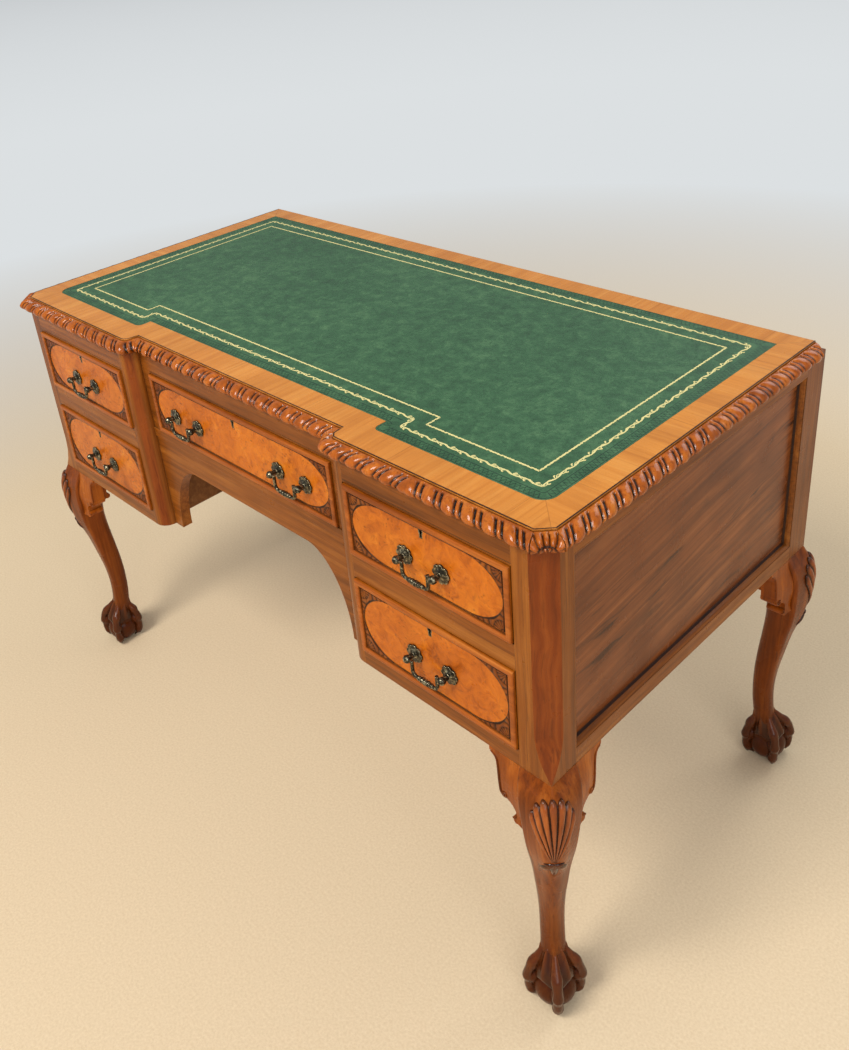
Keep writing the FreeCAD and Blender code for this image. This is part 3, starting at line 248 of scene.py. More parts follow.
def burr(name, field):
    """A drawer front: burr veneer in the field, straight walnut on the bead, which stands in front of it."""
    graph = Graph(name)
    point = graph.place()
    swirl = graph.drift(graph.drift(point, 26.0, 0.030), 90.0, 0.006)
    clouds = graph.speckle(swirl, 48.0, 7.0, 0.70, 1.0)
    broad = graph.speckle(point, 9.0, 3.0, 0.5, 0.6)
    tone = graph.sums("MULTIPLY_ADD", clouds, 0.58, graph.sums("MULTIPLY", broad, 0.42))
    gold = graph.ramp(
        tone, (0.33, rgb(132, 58, 8)), (0.46, rgb(192, 98, 16)), (0.57, rgb(212, 116, 24)),
        (0.70, rgb(232, 146, 46)),
    )
    slants = graph.speckle(graph.turned(swirl, (0, 0.9, 0), (30.0, 160.0, 160.0)), 1.0, 3.0, 0.6)
    streaks = graph.sums("MULTIPLY", graph.span(slants, 0.57, 0.68), graph.span(broad, 0.45, 0.60))
    flecked = graph.tint(gold, rgb(120, 48, 8), streaks, 0.45)
    eyes = graph.node("TexVoronoi", Vector=swirl, Scale=150.0, Randomness=1.0).outputs["Distance"]
    patches = graph.speckle(point, 30.0, 3.0, 0.6)
    dots = graph.sums("MULTIPLY", graph.span(eyes, 0.34, 0.14), graph.span(patches, 0.49, 0.60))
    specked = graph.tint(flecked, rgb(92, 38, 8), dots, 0.66)
    bead, pores = grain(
        graph, point, GRAIN_TURNS["x"], rgb(122, 58, 14), rgb(170, 88, 26), rgb(202, 120, 46))
    raised = graph.sums("LESS_THAN", graph.parts(point)[1], field - 0.0004)
    height = graph.sums("MULTIPLY_ADD", clouds, 0.3, pores)
    return polish(graph, graph.mix(raised, specked, bead), height, shade_reach=0.007, gloss=0.27, coat=0.10)


def banded_top(name, half, front, back):
    """The top: golden cross-banding round the leather, laid in short lengths and mitred at the corners."""
    graph = Graph(name)
    point = graph.place()
    x, y, _ = graph.parts(point)
    beside = graph.sums("SUBTRACT", graph.sums("ABSOLUTE", x), half)
    before = graph.sums("SUBTRACT", front, y)
    behind = graph.sums("SUBTRACT", y, back)
    beyond = graph.sums("MAXIMUM", before, behind)
    on_side = graph.sums("GREATER_THAN", beside, beyond)
    tones = (rgb(188, 115, 43), rgb(215, 139, 58), rgb(233, 163, 79))
    along, pores = grain(graph, point, GRAIN_TURNS["y"], *tones)
    across, _ = grain(graph, point, GRAIN_TURNS["x"], *tones)
    veneer = graph.mix(on_side, along, across)
    run = graph.node("Mix", in_0=on_side, in_2=x, in_3=y).outputs[0]
    lengths = graph.sums("DIVIDE", graph.sums("ADD", run, 2.03), 0.183)
    cell = graph.node("CombineXYZ", X=graph.sums("FLOOR", lengths), Y=on_side).outputs[0]
    tile = graph.node("TexWhiteNoise", {"noise_dimensions": "2D"}, Vector=cell).outputs[0]
    toned = graph.mix(graph.span(tile, 0.0, 1.0, 0.0, 0.30), veneer, rgb(184, 106, 39))
    seam = graph.sums("LESS_THAN", graph.sums("FRACT", lengths), 0.005)
    gap = graph.sums("ABSOLUTE", graph.sums("SUBTRACT", beside, beyond))
    mitre = graph.sums("LESS_THAN", gap, 0.0006)
    joined = graph.tint(toned, rgb(84, 42, 14), graph.sums("MAXIMUM", seam, mitre), 0.32)
    return polish(graph, joined, pores, shade_reach=0.006, gloss=0.26, coat=0.10)


def carved(name, tones, groove_shade, gloss=0.26, foot=None, coat=0.15, wear=0.22):
    """Carved walnut: the grooves are darkened with painted shade and the high places rubbed bright."""
    graph = Graph(name)
    colour, pores = grain(graph, graph.place(), GRAIN_TURNS["z"], *tones, 0.8)
    cut = graph.node("Attribute", {"attribute_name": "cut"}).outputs["Fac"]
    if foot is not None:
        # painted shade: the lower leg and the feet are darkened towards the floor
        level = graph.parts(graph.place())[2]
        low_shaded = graph.mix(graph.span(level, 0.33, 0.12, 0.0, 0.45), colour, foot)
        colour = graph.mix(graph.span(level, 0.10, 0.055, 0.0, 0.75), low_shaded, foot)
    # painted shade: the grooves take the dark groove colour
    groove_shaded = graph.mix(cut, colour, groove_shade)
    return polish(graph, groove_shaded, pores, 0.011, 0.0008, coat, gloss, haze=0.10, shine=0.09, wear=wear)


def leather(name, dark, middle, light):
    """Dyed hide: a pebbled grain, mottled colour and a soft polish."""
    graph = Graph(name)
    point = graph.place()
    pebbles = graph.drift(point, 300.0, 0.0012)
    cells = graph.node("TexVoronoi", Vector=pebbles, Scale=520.0).outputs["Distance"]
    creases = graph.speckle(graph.drift(point, 60.0, 0.006), 240.0, 5.0, 0.66, 0.4)
    mottle = graph.speckle(graph.drift(point, 14.0, 0.02), 46.0, 7.0, 0.74, 0.3)
    broad = graph.speckle(point, 5.0, 3.0, 0.5)
    tone = graph.sums("MULTIPLY_ADD", mottle, 0.75, graph.sums("MULTIPLY", broad, 0.25))
    colour = graph.ramp(tone, (0.28, dark), (0.50, middle), (0.72, light))
    shaded = graph.mix(graph.span(creases, 0.52, 0.36, 0.0, 0.45), colour, dark)
    height = graph.sums("MULTIPLY_ADD", creases, 0.8, cells)
    rough = graph.span(mottle, 0.3, 0.7, 0.36, 0.50)
    return graph.finish(shaded, rough, height, 0.00030, shine=0.30)


def old_brass(name):
    """Cast brass, rubbed bright where it stands out and dark where it doesn't."""
    graph = Graph(name)
    normal, rim = graph.soft_edges(0.0011)
    cloud = graph.speckle(graph.place(), 260.0, 5.0, 0.65)
    bare = graph.span(cloud, 0.50, 0.68, 0.0, 0.65)
    rubbed = graph.sums("MAXIMUM", graph.sums("MULTIPLY", rim, 0.70), bare)
    metal = graph.mix(rubbed, rgb(60, 56, 46), rgb(232, 218, 178))
    grimy = graph.tint(metal, rgb(26, 25, 21), graph.hollows(0.006), 0.9)
    rough = graph.span(rubbed, 0.0, 1.0, 0.34, 0.16)
    return graph.finish(grimy, rough, cloud, 0.00016, normal, metal=0.9)


def gilt(name):
    """Gold leaf pressed into leather, broken in places."""
    graph = Graph(name)
    rubbed = graph.speckle(graph.place(), 420.0, 4.0, 0.7)
    colour = graph.mix(graph.span(rubbed, 0.60, 0.68), rgb(232, 218, 150), rgb(140, 142, 84))
    return graph.finish(colour, graph.span(rubbed, 0.4, 0.7, 0.30, 0.55), rubbed, 0.00008, metal=0.15)


# Dark, middle and light tones of the woods, and the tone that the legs darken to at the floor as painted
# shade
WALNUT = (rgb(88, 44, 10), rgb(140, 76, 20), rgb(176, 108, 40))
RED_WALNUT = (rgb(80, 32, 8), rgb(126, 56, 14), rgb(156, 80, 26))
FLAMED = (rgb(88, 42, 16), rgb(138, 74, 32), rgb(176, 106, 54))
LEG_TONES = (rgb(80, 34, 6), rgb(132, 62, 12), rgb(172, 94, 30))
EDGE_TONES = (rgb(116, 54, 10), rgb(174, 88, 22), rgb(212, 126, 44))
SHELL_TONES = (rgb(104, 46, 12), rgb(152, 74, 22), rgb(188, 104, 40))
BRACKET_TONES = (rgb(108, 48, 10), rgb(160, 80, 18), rgb(196, 112, 38))
SPANDREL_TONES = (rgb(90, 42, 12), rgb(140, 70, 20), rgb(180, 102, 36))
EBONY = (rgb(30, 14, 8), rgb(46, 22, 12), rgb(66, 34, 18))
PLAIN_WOOD = (rgb(96, 58, 28), rgb(128, 82, 44), rgb(154, 106, 62))
PALE_WOOD = (rgb(140, 98, 54), rgb(176, 130, 80), rgb(202, 160, 108))
LOW_SHADE_TONE = rgb(64, 25, 6)
PANEL_LEAN = (-0.10, 0, math.pi / 2)
looks = {
    "long": walnut("walnut_long_grain", "x", *WALNUT),
    "deep": walnut("walnut_side_grain", "y", *WALNUT),
    "upright": walnut("walnut_upright", "z", *WALNUT),
    "post": post_veneer("walnut_post", WALNUT, RED_WALNUT),
    "top": banded_top("walnut_crossbanding", HIDE_HALF, HIDE_FRONT, HIDE_BACK),
    "panel": figured("walnut_flamed", PANEL_LEAN, *FLAMED),
    # carved looks: the colour after the tones is the painted shade laid in the grooves
    "leg": carved("walnut_carved", LEG_TONES, rgb(28, 11, 5), 0.24, LOW_SHADE_TONE, 0.14),
    "gadroon": carved("walnut_gadroon", EDGE_TONES, rgb(22, 10, 6), 0.16, coat=0.50),
    "shell": carved("walnut_shell", SHELL_TONES, rgb(22, 9, 5), 0.16, coat=0.50),
    "paw": carved("walnut_paw", LEG_TONES, rgb(18, 7, 4), 0.20, LOW_SHADE_TONE, 0.40, wear=0.0),
    "bracket": carved("walnut_bracket", BRACKET_TONES, rgb(40, 17, 6), 0.24),
    "spandrel": carved("walnut_spandrel", SPANDREL_TONES, rgb(34, 14, 5), 0.30),
    "burr": burr("walnut_burr", FRONT - FIELD_PROUD),
    "burr_centre": burr("walnut_burr_centre", RECESS - FIELD_PROUD),
    "string": walnut("ebonised_string", "x", *EBONY, coat=0.05),
    "inner": walnut("secondary_wood", "x", *PLAIN_WOOD, coat=0.05, gloss=0.5),
    "lining": walnut("drawer_lining", "y", *PALE_WOOD, coat=0.0, gloss=0.6),
    "leather": leather("green_leather", rgb(32, 64, 40), rgb(57, 97, 64), rgb(90, 128, 88)),
    "blind": leather("green_leather_tooled", rgb(16, 36, 26), rgb(26, 52, 38), rgb(42, 72, 52)),
    "gilt": gilt("gilt_tooling"),
    "brass": old_brass("old_brass"),
}
# The finish of each CAD node, by how its name starts or else by how it ends; all others are plain wood
LOOK_BY_START = {
    "bail_": "brass", "drawer_centre_front": "burr_centre", "front_post": "post", "rear_post": "upright",
    "inner_stile": "post", "front_rails": "long", "kneehole_apron": "long", "centre_frame": "long",
    "side_rails": "deep", "side_panel": "panel", "rear_top_rail": "long", "top_board": "top", "leg_": "leg",
    "knee_brackets": "bracket", "gadroon": "gadroon", "writing_leather": "leather",
}
LOOK_BY_END = {"_brassware": "brass", "_front": "burr", "_box": "lining", "_bottom": "lining"}


def dress(node, look):
    """Give a node or a piece one finish."""
    node.data.materials.clear()
    node.data.materials.append(looks[look])


for name, node in nodes.items():
    found = [look for start, look in LOOK_BY_START.items() if name.startswith(start)]
    found += [look for end, look in LOOK_BY_END.items() if name.endswith(end)]
    dress(node, (found + ["inner"])[0])


# Building meshes
def grid_faces(rows, columns, loop=False):
    """Faces of a grid of points, closed round its columns if it is a tube."""
    faces = []
    for row in range(rows - 1):
        for column in range(columns if loop else columns - 1):
            a, b = row * columns + column, row * columns + (column + 1) % columns
            faces.append((a, b, b + columns, a + columns))
    return faces


class Gather:
    """Several closed shapes collected into one piece."""

    def __init__(self):
        self.points, self.faces, self.groove_shades = [], [], []

    def add(self, points, faces, groove_shades=None):
        """One more shape, with no painted groove shade unless groove shades are given."""
        start = len(self.points)
        self.points += points
        self.faces += [tuple(start + index for index in face) for face in faces]
        self.groove_shades += groove_shades if groove_shades is not None else [0.0] * len(points)

    def relief(self, rows, columns, at):
        """A closed slab over a grid; at gives top, bottom and painted groove shade for shares along its rows
        and columns.
        """
        grid = [at(a / (rows - 1), b / (columns - 1)) for a in range(rows) for b in range(columns)]
        tops, bottoms, groove_shades = (list(values) for values in zip(*grid))
        total = rows * columns
        skin = grid_faces(rows, columns)
        under = [tuple(index + total for index in face) for face in skin]
        border = list(range(columns)) + [row * columns + columns - 1 for row in range(1, rows)]
        border += [(rows - 1) * columns + k for k in range(columns - 2, -1, -1)]
        border += [row * columns for row in range(rows - 2, 0, -1)]
        wall = [(a, b, b + total, a + total) for a, b in zip(border, border[1:] + border[:1])]
        self.add(tops + bottoms, skin + under + wall, groove_shades + groove_shades)

    def tube(self, sections, closed=False, groove_shades=None):
        """A skin over closed sections, capped unless the tube closes on itself."""
        count = len(sections[0])
        points = [point for section in sections for point in section]
        faces = grid_faces(len(sections), count, loop=True)
        last = (len(sections) - 1) * count
        if closed:
            faces += [(last + k, last + (k + 1) % count, (k + 1) % count, k) for k in range(count)]
        else:
            faces += [tuple(range(count)), tuple(range(last, last + count))]
        self.add(points, faces, groove_shades)

    def ribbon(self, path, width, out, proud, sunk, closed=False):
        """A thin strip on a flat face that faces out; width is one number, or one for each point."""
        sections = []
        count = len(path)
        for index, point in enumerate(path):
            before = path[index - 1] if closed or index else point
            after = path[(index + 1) % count] if closed or index < count - 1 else point
            way = (after - before).normalized()
            side = out.cross(way) * ((width[index] if isinstance(width, list) else width) / 2)
            near, far = point - side, point + side
            sections.append([near - out * sunk, near + out * proud, far + out * proud, far - out * sunk])
        self.tube(sections, closed)

    def cord(self, path, radii, sides=8):
        """A round bead along a path."""
        sections = []
        turns = [2 * math.pi * k / sides for k in range(sides)]
        for index, point in enumerate(path):
            way = (path[min(index + 1, len(path) - 1)] - path[max(index - 1, 0)]).normalized()
            first = way.cross(Vector((0.31, 0.55, 0.77))).normalized()
            second = way.cross(first)
            ring = [point + (first * math.cos(a) + second * math.sin(a)) * radii[index] for a in turns]
            sections.append(ring)
        self.tube(sections)

    def make(self, name, look, body="carcass", smooth=True):
        """The finished piece, riding on a body; its groove shades, mostly taken from how deep each point is
        carved, say how dark it is painted as shade.
        """
        mesh = bpy.data.meshes.new(name)
        mesh.from_pydata([tuple(point) for point in self.points], [], self.faces)
        mesh.attributes.new("cut", "FLOAT", "POINT").data.foreach_set("value", self.groove_shades)
        shape = bmesh.new()
        shape.from_mesh(mesh)
        bmesh.ops.recalc_face_normals(shape, faces=shape.faces)
        shape.to_mesh(mesh)
        shape.free()
        mesh.polygons.foreach_set("use_smooth", [smooth] * len(mesh.polygons))
        made = bpy.data.objects.new(name, mesh)
        bpy.context.scene.collection.objects.link(made)
        dress(made, look)
        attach(made, body)
        return made


def flat(x, y):
    """A point of the plan."""
    return Vector((x, y, 0))


# Gadrooned edge of the top: its reach, height and underside
EDGE_OUT, EDGE_TALL, EDGE_BASE = 0.020, 0.0195, 0.7585
# The top's half width, front, back and canted corners
TOP_HALF, TOP_FRONT, TOP_BACK, TOP_CANT = 0.590, -0.2995, 0.280, 0.017
# The step over the kneehole: half width, set-back front and the bend of the pedestals' corners
STEP_HALF, STEP_RECESS, STEP_BEND = 0.2465, -0.276, 0.012
# The lobes: pitch, curl over the crown and at the heel, and how deep lobes and corner leaves are cut
PITCH, CURL, HEEL_CURL, LOBE_DEEP, LEAF_DEEP = 0.0292, 0.011, 0.003, 0.0042, 0.0048
# The leaf on a canted corner: where its heel lies, and the ring between its inner and outer lobes
LEAF_HEEL, LEAF_WIDE, LEAF_RING = 1.12, 0.9, 0.60


def arc_points(start, middle, end, count):
    """Points along the arc through three points of a plane."""
    a, b, c = (complex(*spot) for spot in (start, middle, end))
    ratio = (c - a) / (b - a)
    centre = a + (b - a) * (ratio - abs(ratio) ** 2) / (2j * ratio.imag)
    sweep = cmath.phase((c - centre) / (a - centre))
    spots = [centre + (a - centre) * cmath.exp(1j * sweep * k / (count - 1)) for k in range(count)]
    return [(spot.real, spot.imag) for spot in spots]


# The moulding's outer line as shares of its reach and height: crown, nose, belly and heel
SECTION = arc_points((0.125, 1.0), (0.72, 0.83), (1.0, 0.50), 14)
SECTION += arc_points((1.0, 0.50), (0.86, 0.13), (0.45, 0.0), 10)[1:]


def straight_path(start, end, outer_start, outer_end):
    """Where a run's point lies for a share along it and a distance out from the top's edge."""
    def at(share, out):
        reach = out / EDGE_OUT
        return (start + (outer_start - start) * reach).lerp(end + (outer_end - end) * reach, share)
    return at


def rounded_end(path):
    """The same run with its last stretch turned in to the top's edge."""
    def at(share, out):
        late = min(1.0, max(0.0, (share - 0.975) / 0.025))
        return path(share, out * (0.15 + 0.85 * math.sqrt(1 - late * late)))
    return at


def pedestal_path(hand):
    """The same for a pedestal's run, which starts in the step and turns a rounded corner."""
    centre = flat(STEP_HALF + STEP_BEND, TOP_FRONT + STEP_BEND)
    far = TOP_HALF - TOP_CANT

    def at(share, out):
        radius = STEP_BEND + out
        lead = max(0.0, STEP_RECESS - out - centre.y)
        depth = STEP_RECESS - TOP_FRONT
        begin = 0.0 if radius <= depth else math.asin(-depth / radius / math.sqrt(2)) + math.pi / 4
        sweep = radius * (math.pi / 2 - begin)
        end = far + math.tan(math.pi / 8) * out
        walk = share * (lead + sweep + end - centre.x)
        if walk < lead:
            spot = flat(STEP_HALF - out, STEP_RECESS - out - walk)
        elif walk < lead + sweep:
            angle = begin + (walk - lead) / radius
            spot = centre + flat(-radius * math.cos(angle), -radius * math.sin(angle))
        else:
            spot = flat(centre.x + walk - lead - sweep, TOP_FRONT - out)
        return flat(spot.x * hand, spot.y)
    return at


def hump(place, middle, half):
    """A round hump: one in its middle, zero from its half width on."""
    return math.sqrt(max(0.0, 1 - ((place - middle) / half) ** 2))


def lobes(path):
    """Cut depth of the gadroons: curled lobes and narrow ridges that mirror about the middle of a run."""
    spots = [path(k / 60, EDGE_OUT * 0.9) for k in range(61)]
    length = sum((b - a).length for a, b in zip(spots, spots[1:]))
    pitch = length / 2 / max(1, round(length / 2 / PITCH))

    def cut(share, drop):
        away = abs(share - 0.5) * length
        phase = ((away + CURL * (1 - drop) ** 1.6 + HEEL_CURL * drop) / pitch) % 1.0
        return 1 - max(hump(phase, 0.30, 0.30) ** 0.85, 0.70 * hump(phase, 0.80, 0.10))
    return cut


def leaf(share, drop):
    """Cut depth of the acanthus leaf on a canted corner: lobes that fan out from the heel."""
    across = (share - 0.5) * 2
    angle = math.atan2(across * LEAF_WIDE, LEAF_HEEL - drop)
    reach = math.hypot(across * LEAF_WIDE, LEAF_HEEL - drop)
    high = abs(math.cos(angle * (3.2 if reach < LEAF_RING else 7.4))) ** 0.6
    if abs(reach - LEAF_RING) < 0.045 or abs(across) > 0.93:
        high *= 0.10
    if abs(across) < 0.05 and reach < 0.56:
        high *= 0.25
    return 1 - high


def carve_edge(name, node, at, cut, stations, depth):
    """One run of the carved edge as a closed body."""
    count = len(SECTION)
    sections, groove_shades = [], []
    for row in range(stations):
        share = row / (stations - 1)
        loop = []
        for index, (out, high) in enumerate(SECTION):
            drop = index / (count - 1)
            rise, fall = SECTION[max(index - 1, 0)], SECTION[min(index + 1, count - 1)]
            slope = Vector((fall[0] - rise[0], fall[1] - rise[1])).normalized()
            ease = min(1.0, 0.25 + drop / 0.04) * min(1.0, (1 - drop) / 0.06 + 0.35)
            deep = cut(share, drop) * ease
            reach = out * EDGE_OUT + slope.y * depth * deep
            level = high * EDGE_TALL - slope.x * depth * deep
            loop.append(at(share, max(reach, 0.001)) + UP * (EDGE_BASE + level))
            # painted shade: the deepest parts of the grooves are darkened
            groove_shades.append(min(1.0, max(0.0, deep * 2.0 - 0.95)))
        for level in (0.0, EDGE_TALL):
            loop.append(at(share, 0.0) + UP * (EDGE_BASE + level))
            groove_shades.append(0.0)
        sections.append(loop)
    body = Gather()
    body.tube(sections, groove_shades=groove_shades)
    made = body.make(name, "gadroon")
    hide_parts(node)


cant_out = EDGE_OUT * math.tan(math.pi / 8)
centre_run = straight_path(
    flat(-STEP_HALF, STEP_RECESS), flat(STEP_HALF, STEP_RECESS),
    flat(EDGE_OUT - STEP_HALF, STEP_RECESS - EDGE_OUT), flat(STEP_HALF - EDGE_OUT, STEP_RECESS - EDGE_OUT),
)
carve_edge("carved_edge_centre", "gadroon_front_centre", centre_run, lobes(centre_run), 620, LOBE_DEEP)
for side, hand in HANDS:
    pedestal = pedestal_path(hand)
    carve_edge("carved_edge_" + side, "gadroon_front_" + side, pedestal, lobes(pedestal), 460, LOBE_DEEP)
    cant = straight_path(
        flat(hand * (TOP_HALF - TOP_CANT), TOP_FRONT), flat(hand * TOP_HALF, TOP_FRONT + TOP_CANT),
        flat(hand * (TOP_HALF - TOP_CANT + cant_out), TOP_FRONT - EDGE_OUT),
        flat(hand * (TOP_HALF + EDGE_OUT), TOP_FRONT + TOP_CANT - cant_out),
    )
    carve_edge("carved_leaf_" + side, "gadroon_corner_" + side, cant, leaf, 150, LEAF_DEEP)
    flank = rounded_end(straight_path(
        flat(hand * TOP_HALF, TOP_FRONT + TOP_CANT), flat(hand * TOP_HALF, TOP_BACK),
        flat(hand * (TOP_HALF + EDGE_OUT), TOP_FRONT + TOP_CANT - cant_out),
        flat(hand * (TOP_HALF + EDGE_OUT), TOP_BACK),
    ))
    carve_edge("carved_edge_side_" + side, "gadroon_side_" + side, flank, lobes(flank), 700, LOBE_DEEP)


# Leather writing surface and its tooling
def rounded(corners, radii, count=7):
    """A closed outline with its corners rounded, as flat points."""
    points = []
    for index, (corner, radius) in enumerate(zip(corners, radii)):
        before = (corners[index - 1] - corner).normalized()
        after = (corners[(index + 1) % len(corners)] - corner).normalized()
        if not radius:
            points.append(corner)
            continue
        centre = corner + (before + after) * radius
        for step in range(count):
            angle = math.pi / 2 * step / (count - 1)
            points.append(centre - after * (radius * math.cos(angle)) - before * (radius * math.sin(angle)))
    return points


def inset(corners, distance):
    """The same outline moved inwards, with sharp corners."""
    moved = []
    for index, corner in enumerate(corners):
        arriving = (corner - corners[index - 1]).normalized()
        leaving = (corners[(index + 1) % len(corners)] - corner).normalized()
        first, second = UP.cross(arriving), UP.cross(leaving)
        moved.append(corner + (first + second) * (distance / (1 + first.dot(second))))
    return moved


HIDE_TOP, HIDE_THICK = 0.780, 0.0012
# Depth of the tooling, and the insets of the zigzag, its two lines, the gold band and the gold line
TOOLED, ZIGZAG_IN, BLIND_IN, BAND_IN, LINE_IN = 0.00012, 0.0085, (0.0028, 0.0145), 0.0250, 0.0480
hide_right = [
    flat(HIDE_STEP, HIDE_RECESS), flat(HIDE_STEP, HIDE_FRONT), flat(HIDE_HALF, HIDE_FRONT),
    flat(HIDE_HALF, HIDE_BACK),
]
hide_corners = [flat(-spot.x, spot.y) for spot in reversed(hide_right)] + hide_right
hide_radii = [0, 0.020, 0.009, 0, 0, 0.009, 0.020, 0]
hide = Gather()
hide.tube([
    [spot + UP * (HIDE_TOP - drop) for spot in rounded(inset(hide_corners, margin), hide_radii)]
    for margin, drop in ((0.0002, HIDE_THICK), (0.0002, 0.0005), (0.0007, 0.0))
])
hide_piece = hide.make("leather_sheet", "leather", smooth=False)
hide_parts("writing_leather")


def edges_of(corners):
    """Each side of an outline with its start, direction, inward normal and length."""
    for index, corner in enumerate(corners):
        step = corners[(index + 1) % len(corners)] - corner
        yield corner + UP * HIDE_TOP, step.normalized(), UP.cross(step.normalized()), step.length


def waved(lines, corners, pitch, reach, width, swell, phase=0.0, proud=0.00008):
    """A gilt line that waves about an outline and swells along its length."""
    for start, way, inward, length in edges_of(corners):
        turns = max(1, round(length / pitch))
        count = turns * 10 + 1
        path, widths = [], []
        for step in range(count):
            along = step / (count - 1)
            turn = 2 * math.pi * turns * along + phase
            path.append(start + way * (along * length) + inward * (reach * math.sin(turn)))
            widths.append(width * (1 + swell * math.cos(2 * turn)))
        lines.ribbon(path, widths, UP, proud, TOOLED)


def sprigs(lines, corners, pitch, length, reach, thin, swell, proud):
    """Small curled leaves on both sides of a gilt band."""
    for start, way, inward, side_length in edges_of(corners):
        turns = max(1, round(side_length / pitch))
        for index in range(turns * 2):
            hand = 1 if index % 2 else -1
            foot = start + way * (side_length * (index + 0.35) / (turns * 2))
            path, widths = [], []
            for step in range(6):
                along = step / 5
                curl = flat(length * along, hand * reach * math.sin(along * 2.2))
                path.append(foot + way * curl.x + inward * curl.y)
                widths.append(thin + swell * math.sin(math.pi * min(1.0, along * 0.9 + 0.1)))
            lines.ribbon(path, widths, UP, proud, TOOLED)


def zigzag(lines, corners, pitch, reach, width, trim):
    """A blind-tooled zigzag along an outline, stopped short of its corners."""
    for corner, way, inward, side_length in edges_of(corners):
        start, length = corner + way * trim, side_length - 2 * trim
        turns = max(1, round(length / pitch))
        path = []
        for step in range(turns * 2 + 1):
            side = reach if step % 2 else -reach
            path.append(start + way * (length * step / (turns * 2)) + inward * side)
        lines.ribbon(path, width, UP, TOOLED / 2, TOOLED)


blind = Gather()
zigzag(blind, inset(hide_corners, ZIGZAG_IN), 0.0068, 0.0040, 0.0017, 0.0065)
for margin in BLIND_IN:
    outline = rounded(inset(hide_corners, margin), [max(0.0, radius - margin) for radius in hide_radii])
    blind.ribbon([spot + UP * HIDE_TOP for spot in outline], 0.0011, UP, TOOLED / 3, TOOLED, closed=True)
blind_piece = blind.make("leather_blind_tooling", "blind", smooth=False)
gold = Gather()
band, line = inset(hide_corners, BAND_IN), inset(hide_corners, LINE_IN)
waved(gold, band, 0.0330, 0.0016, 0.0021, 0.25)
waved(gold, band, 0.0165, 0.0022, 0.0012, 0.35, math.pi, 0.00016)
sprigs(gold, band, 0.0330, 0.0045, 0.0036, 0.0006, 0.0014, 0.00024)
waved(gold, line, 0.0110, 0.0005, 0.0024, 0.40)
waved(gold, line, 0.0074, 0.0009, 0.0012, 0.30, math.pi, 0.00016)
gold_piece = gold.make("leather_gold_tooling", "gilt", smooth=False)

# Drawer fronts: the bead's width, the border line's inset, the oval's end and margin, the spandrels' margin
BEAD, BORDER_IN, OVAL_END, OVAL_MARGIN, SPANDREL_MARGIN = 0.008, 0.0008, 0.058, 0.0026, 0.0022
# Widths of the string lines, how far they stand proud and are sunk
STRING, OVAL_STRING, STRING_PROUD, OVAL_PROUD, STRING_SUNK = 0.0011, 0.0012, 0.0002, 0.0003, 0.0003
# A spandrel's rosette: its eye, where the petals start, its rim, and the pitch of the leaves beyond it
EYE, PETAL_FOOT, ROSETTE, LEAF_PITCH = 0.0040, 0.0052, 0.0165, 0.0082
# Relief of a spandrel over its sunk ground, and its grid
SPANDREL_GROUND, SPANDREL_RELIEF, SPANDREL_SUNK = 0.0003, 0.0012, 0.0004
SPANDREL_ROWS, SPANDREL_COLUMNS = 84, 22
# Corners of a square in order, from two starts
SQUARE = ((-1, -1), (1, -1), (1, 1), (-1, 1))
QUARTERS = SQUARE[2:] + SQUARE[:2]


def spandrel_point(angle, depth, half_wide, half_high):
    """A point of a spandrel from the field's middle: from the oval at depth 0 out to the bead at depth 1."""
    rise = half_high - OVAL_MARGIN
    hub = half_wide - OVAL_MARGIN - OVAL_END
    oval = Vector((hub + OVAL_END * math.cos(angle), rise * math.sin(angle)))
    aim = Vector((math.cos(angle) * OVAL_END, math.sin(angle) * rise))
    edge_x, edge_y = half_wide - SPANDREL_MARGIN - hub, half_high - SPANDREL_MARGIN
    stretch = min(edge_x / max(aim.x, 1e-6), edge_y / max(aim.y, 1e-6))
    return oval.lerp(Vector((hub + aim.x * stretch, aim.y * stretch)), depth)


def spandrel_cut(spot, corner, depth):
    """How deep the carving goes: a quarter rosette in the corner and leafy stems that run out from it."""
    away = corner - spot
    reach, turn = away.length, math.atan2(away.y, away.x)
    if reach < EYE:
        high = 0.85
    elif reach < ROSETTE:
        petal = abs(math.cos((turn - math.pi / 4) * 10)) ** 0.6
        tip = (reach - PETAL_FOOT) / (ROSETTE - PETAL_FOOT)
        high = petal * math.sqrt(max(0.0, 1 - tip ** 4)) if tip > 0 else 0.0
    else:
        leafy = abs(math.cos((reach - ROSETTE) * math.pi / LEAF_PITCH - math.pi / 2 + depth * 1.2))
        high = 0.15 + 0.75 * leafy ** 0.7
    if depth < 0.10 or depth > 0.95:
        high *= 0.2
    return 1 - high


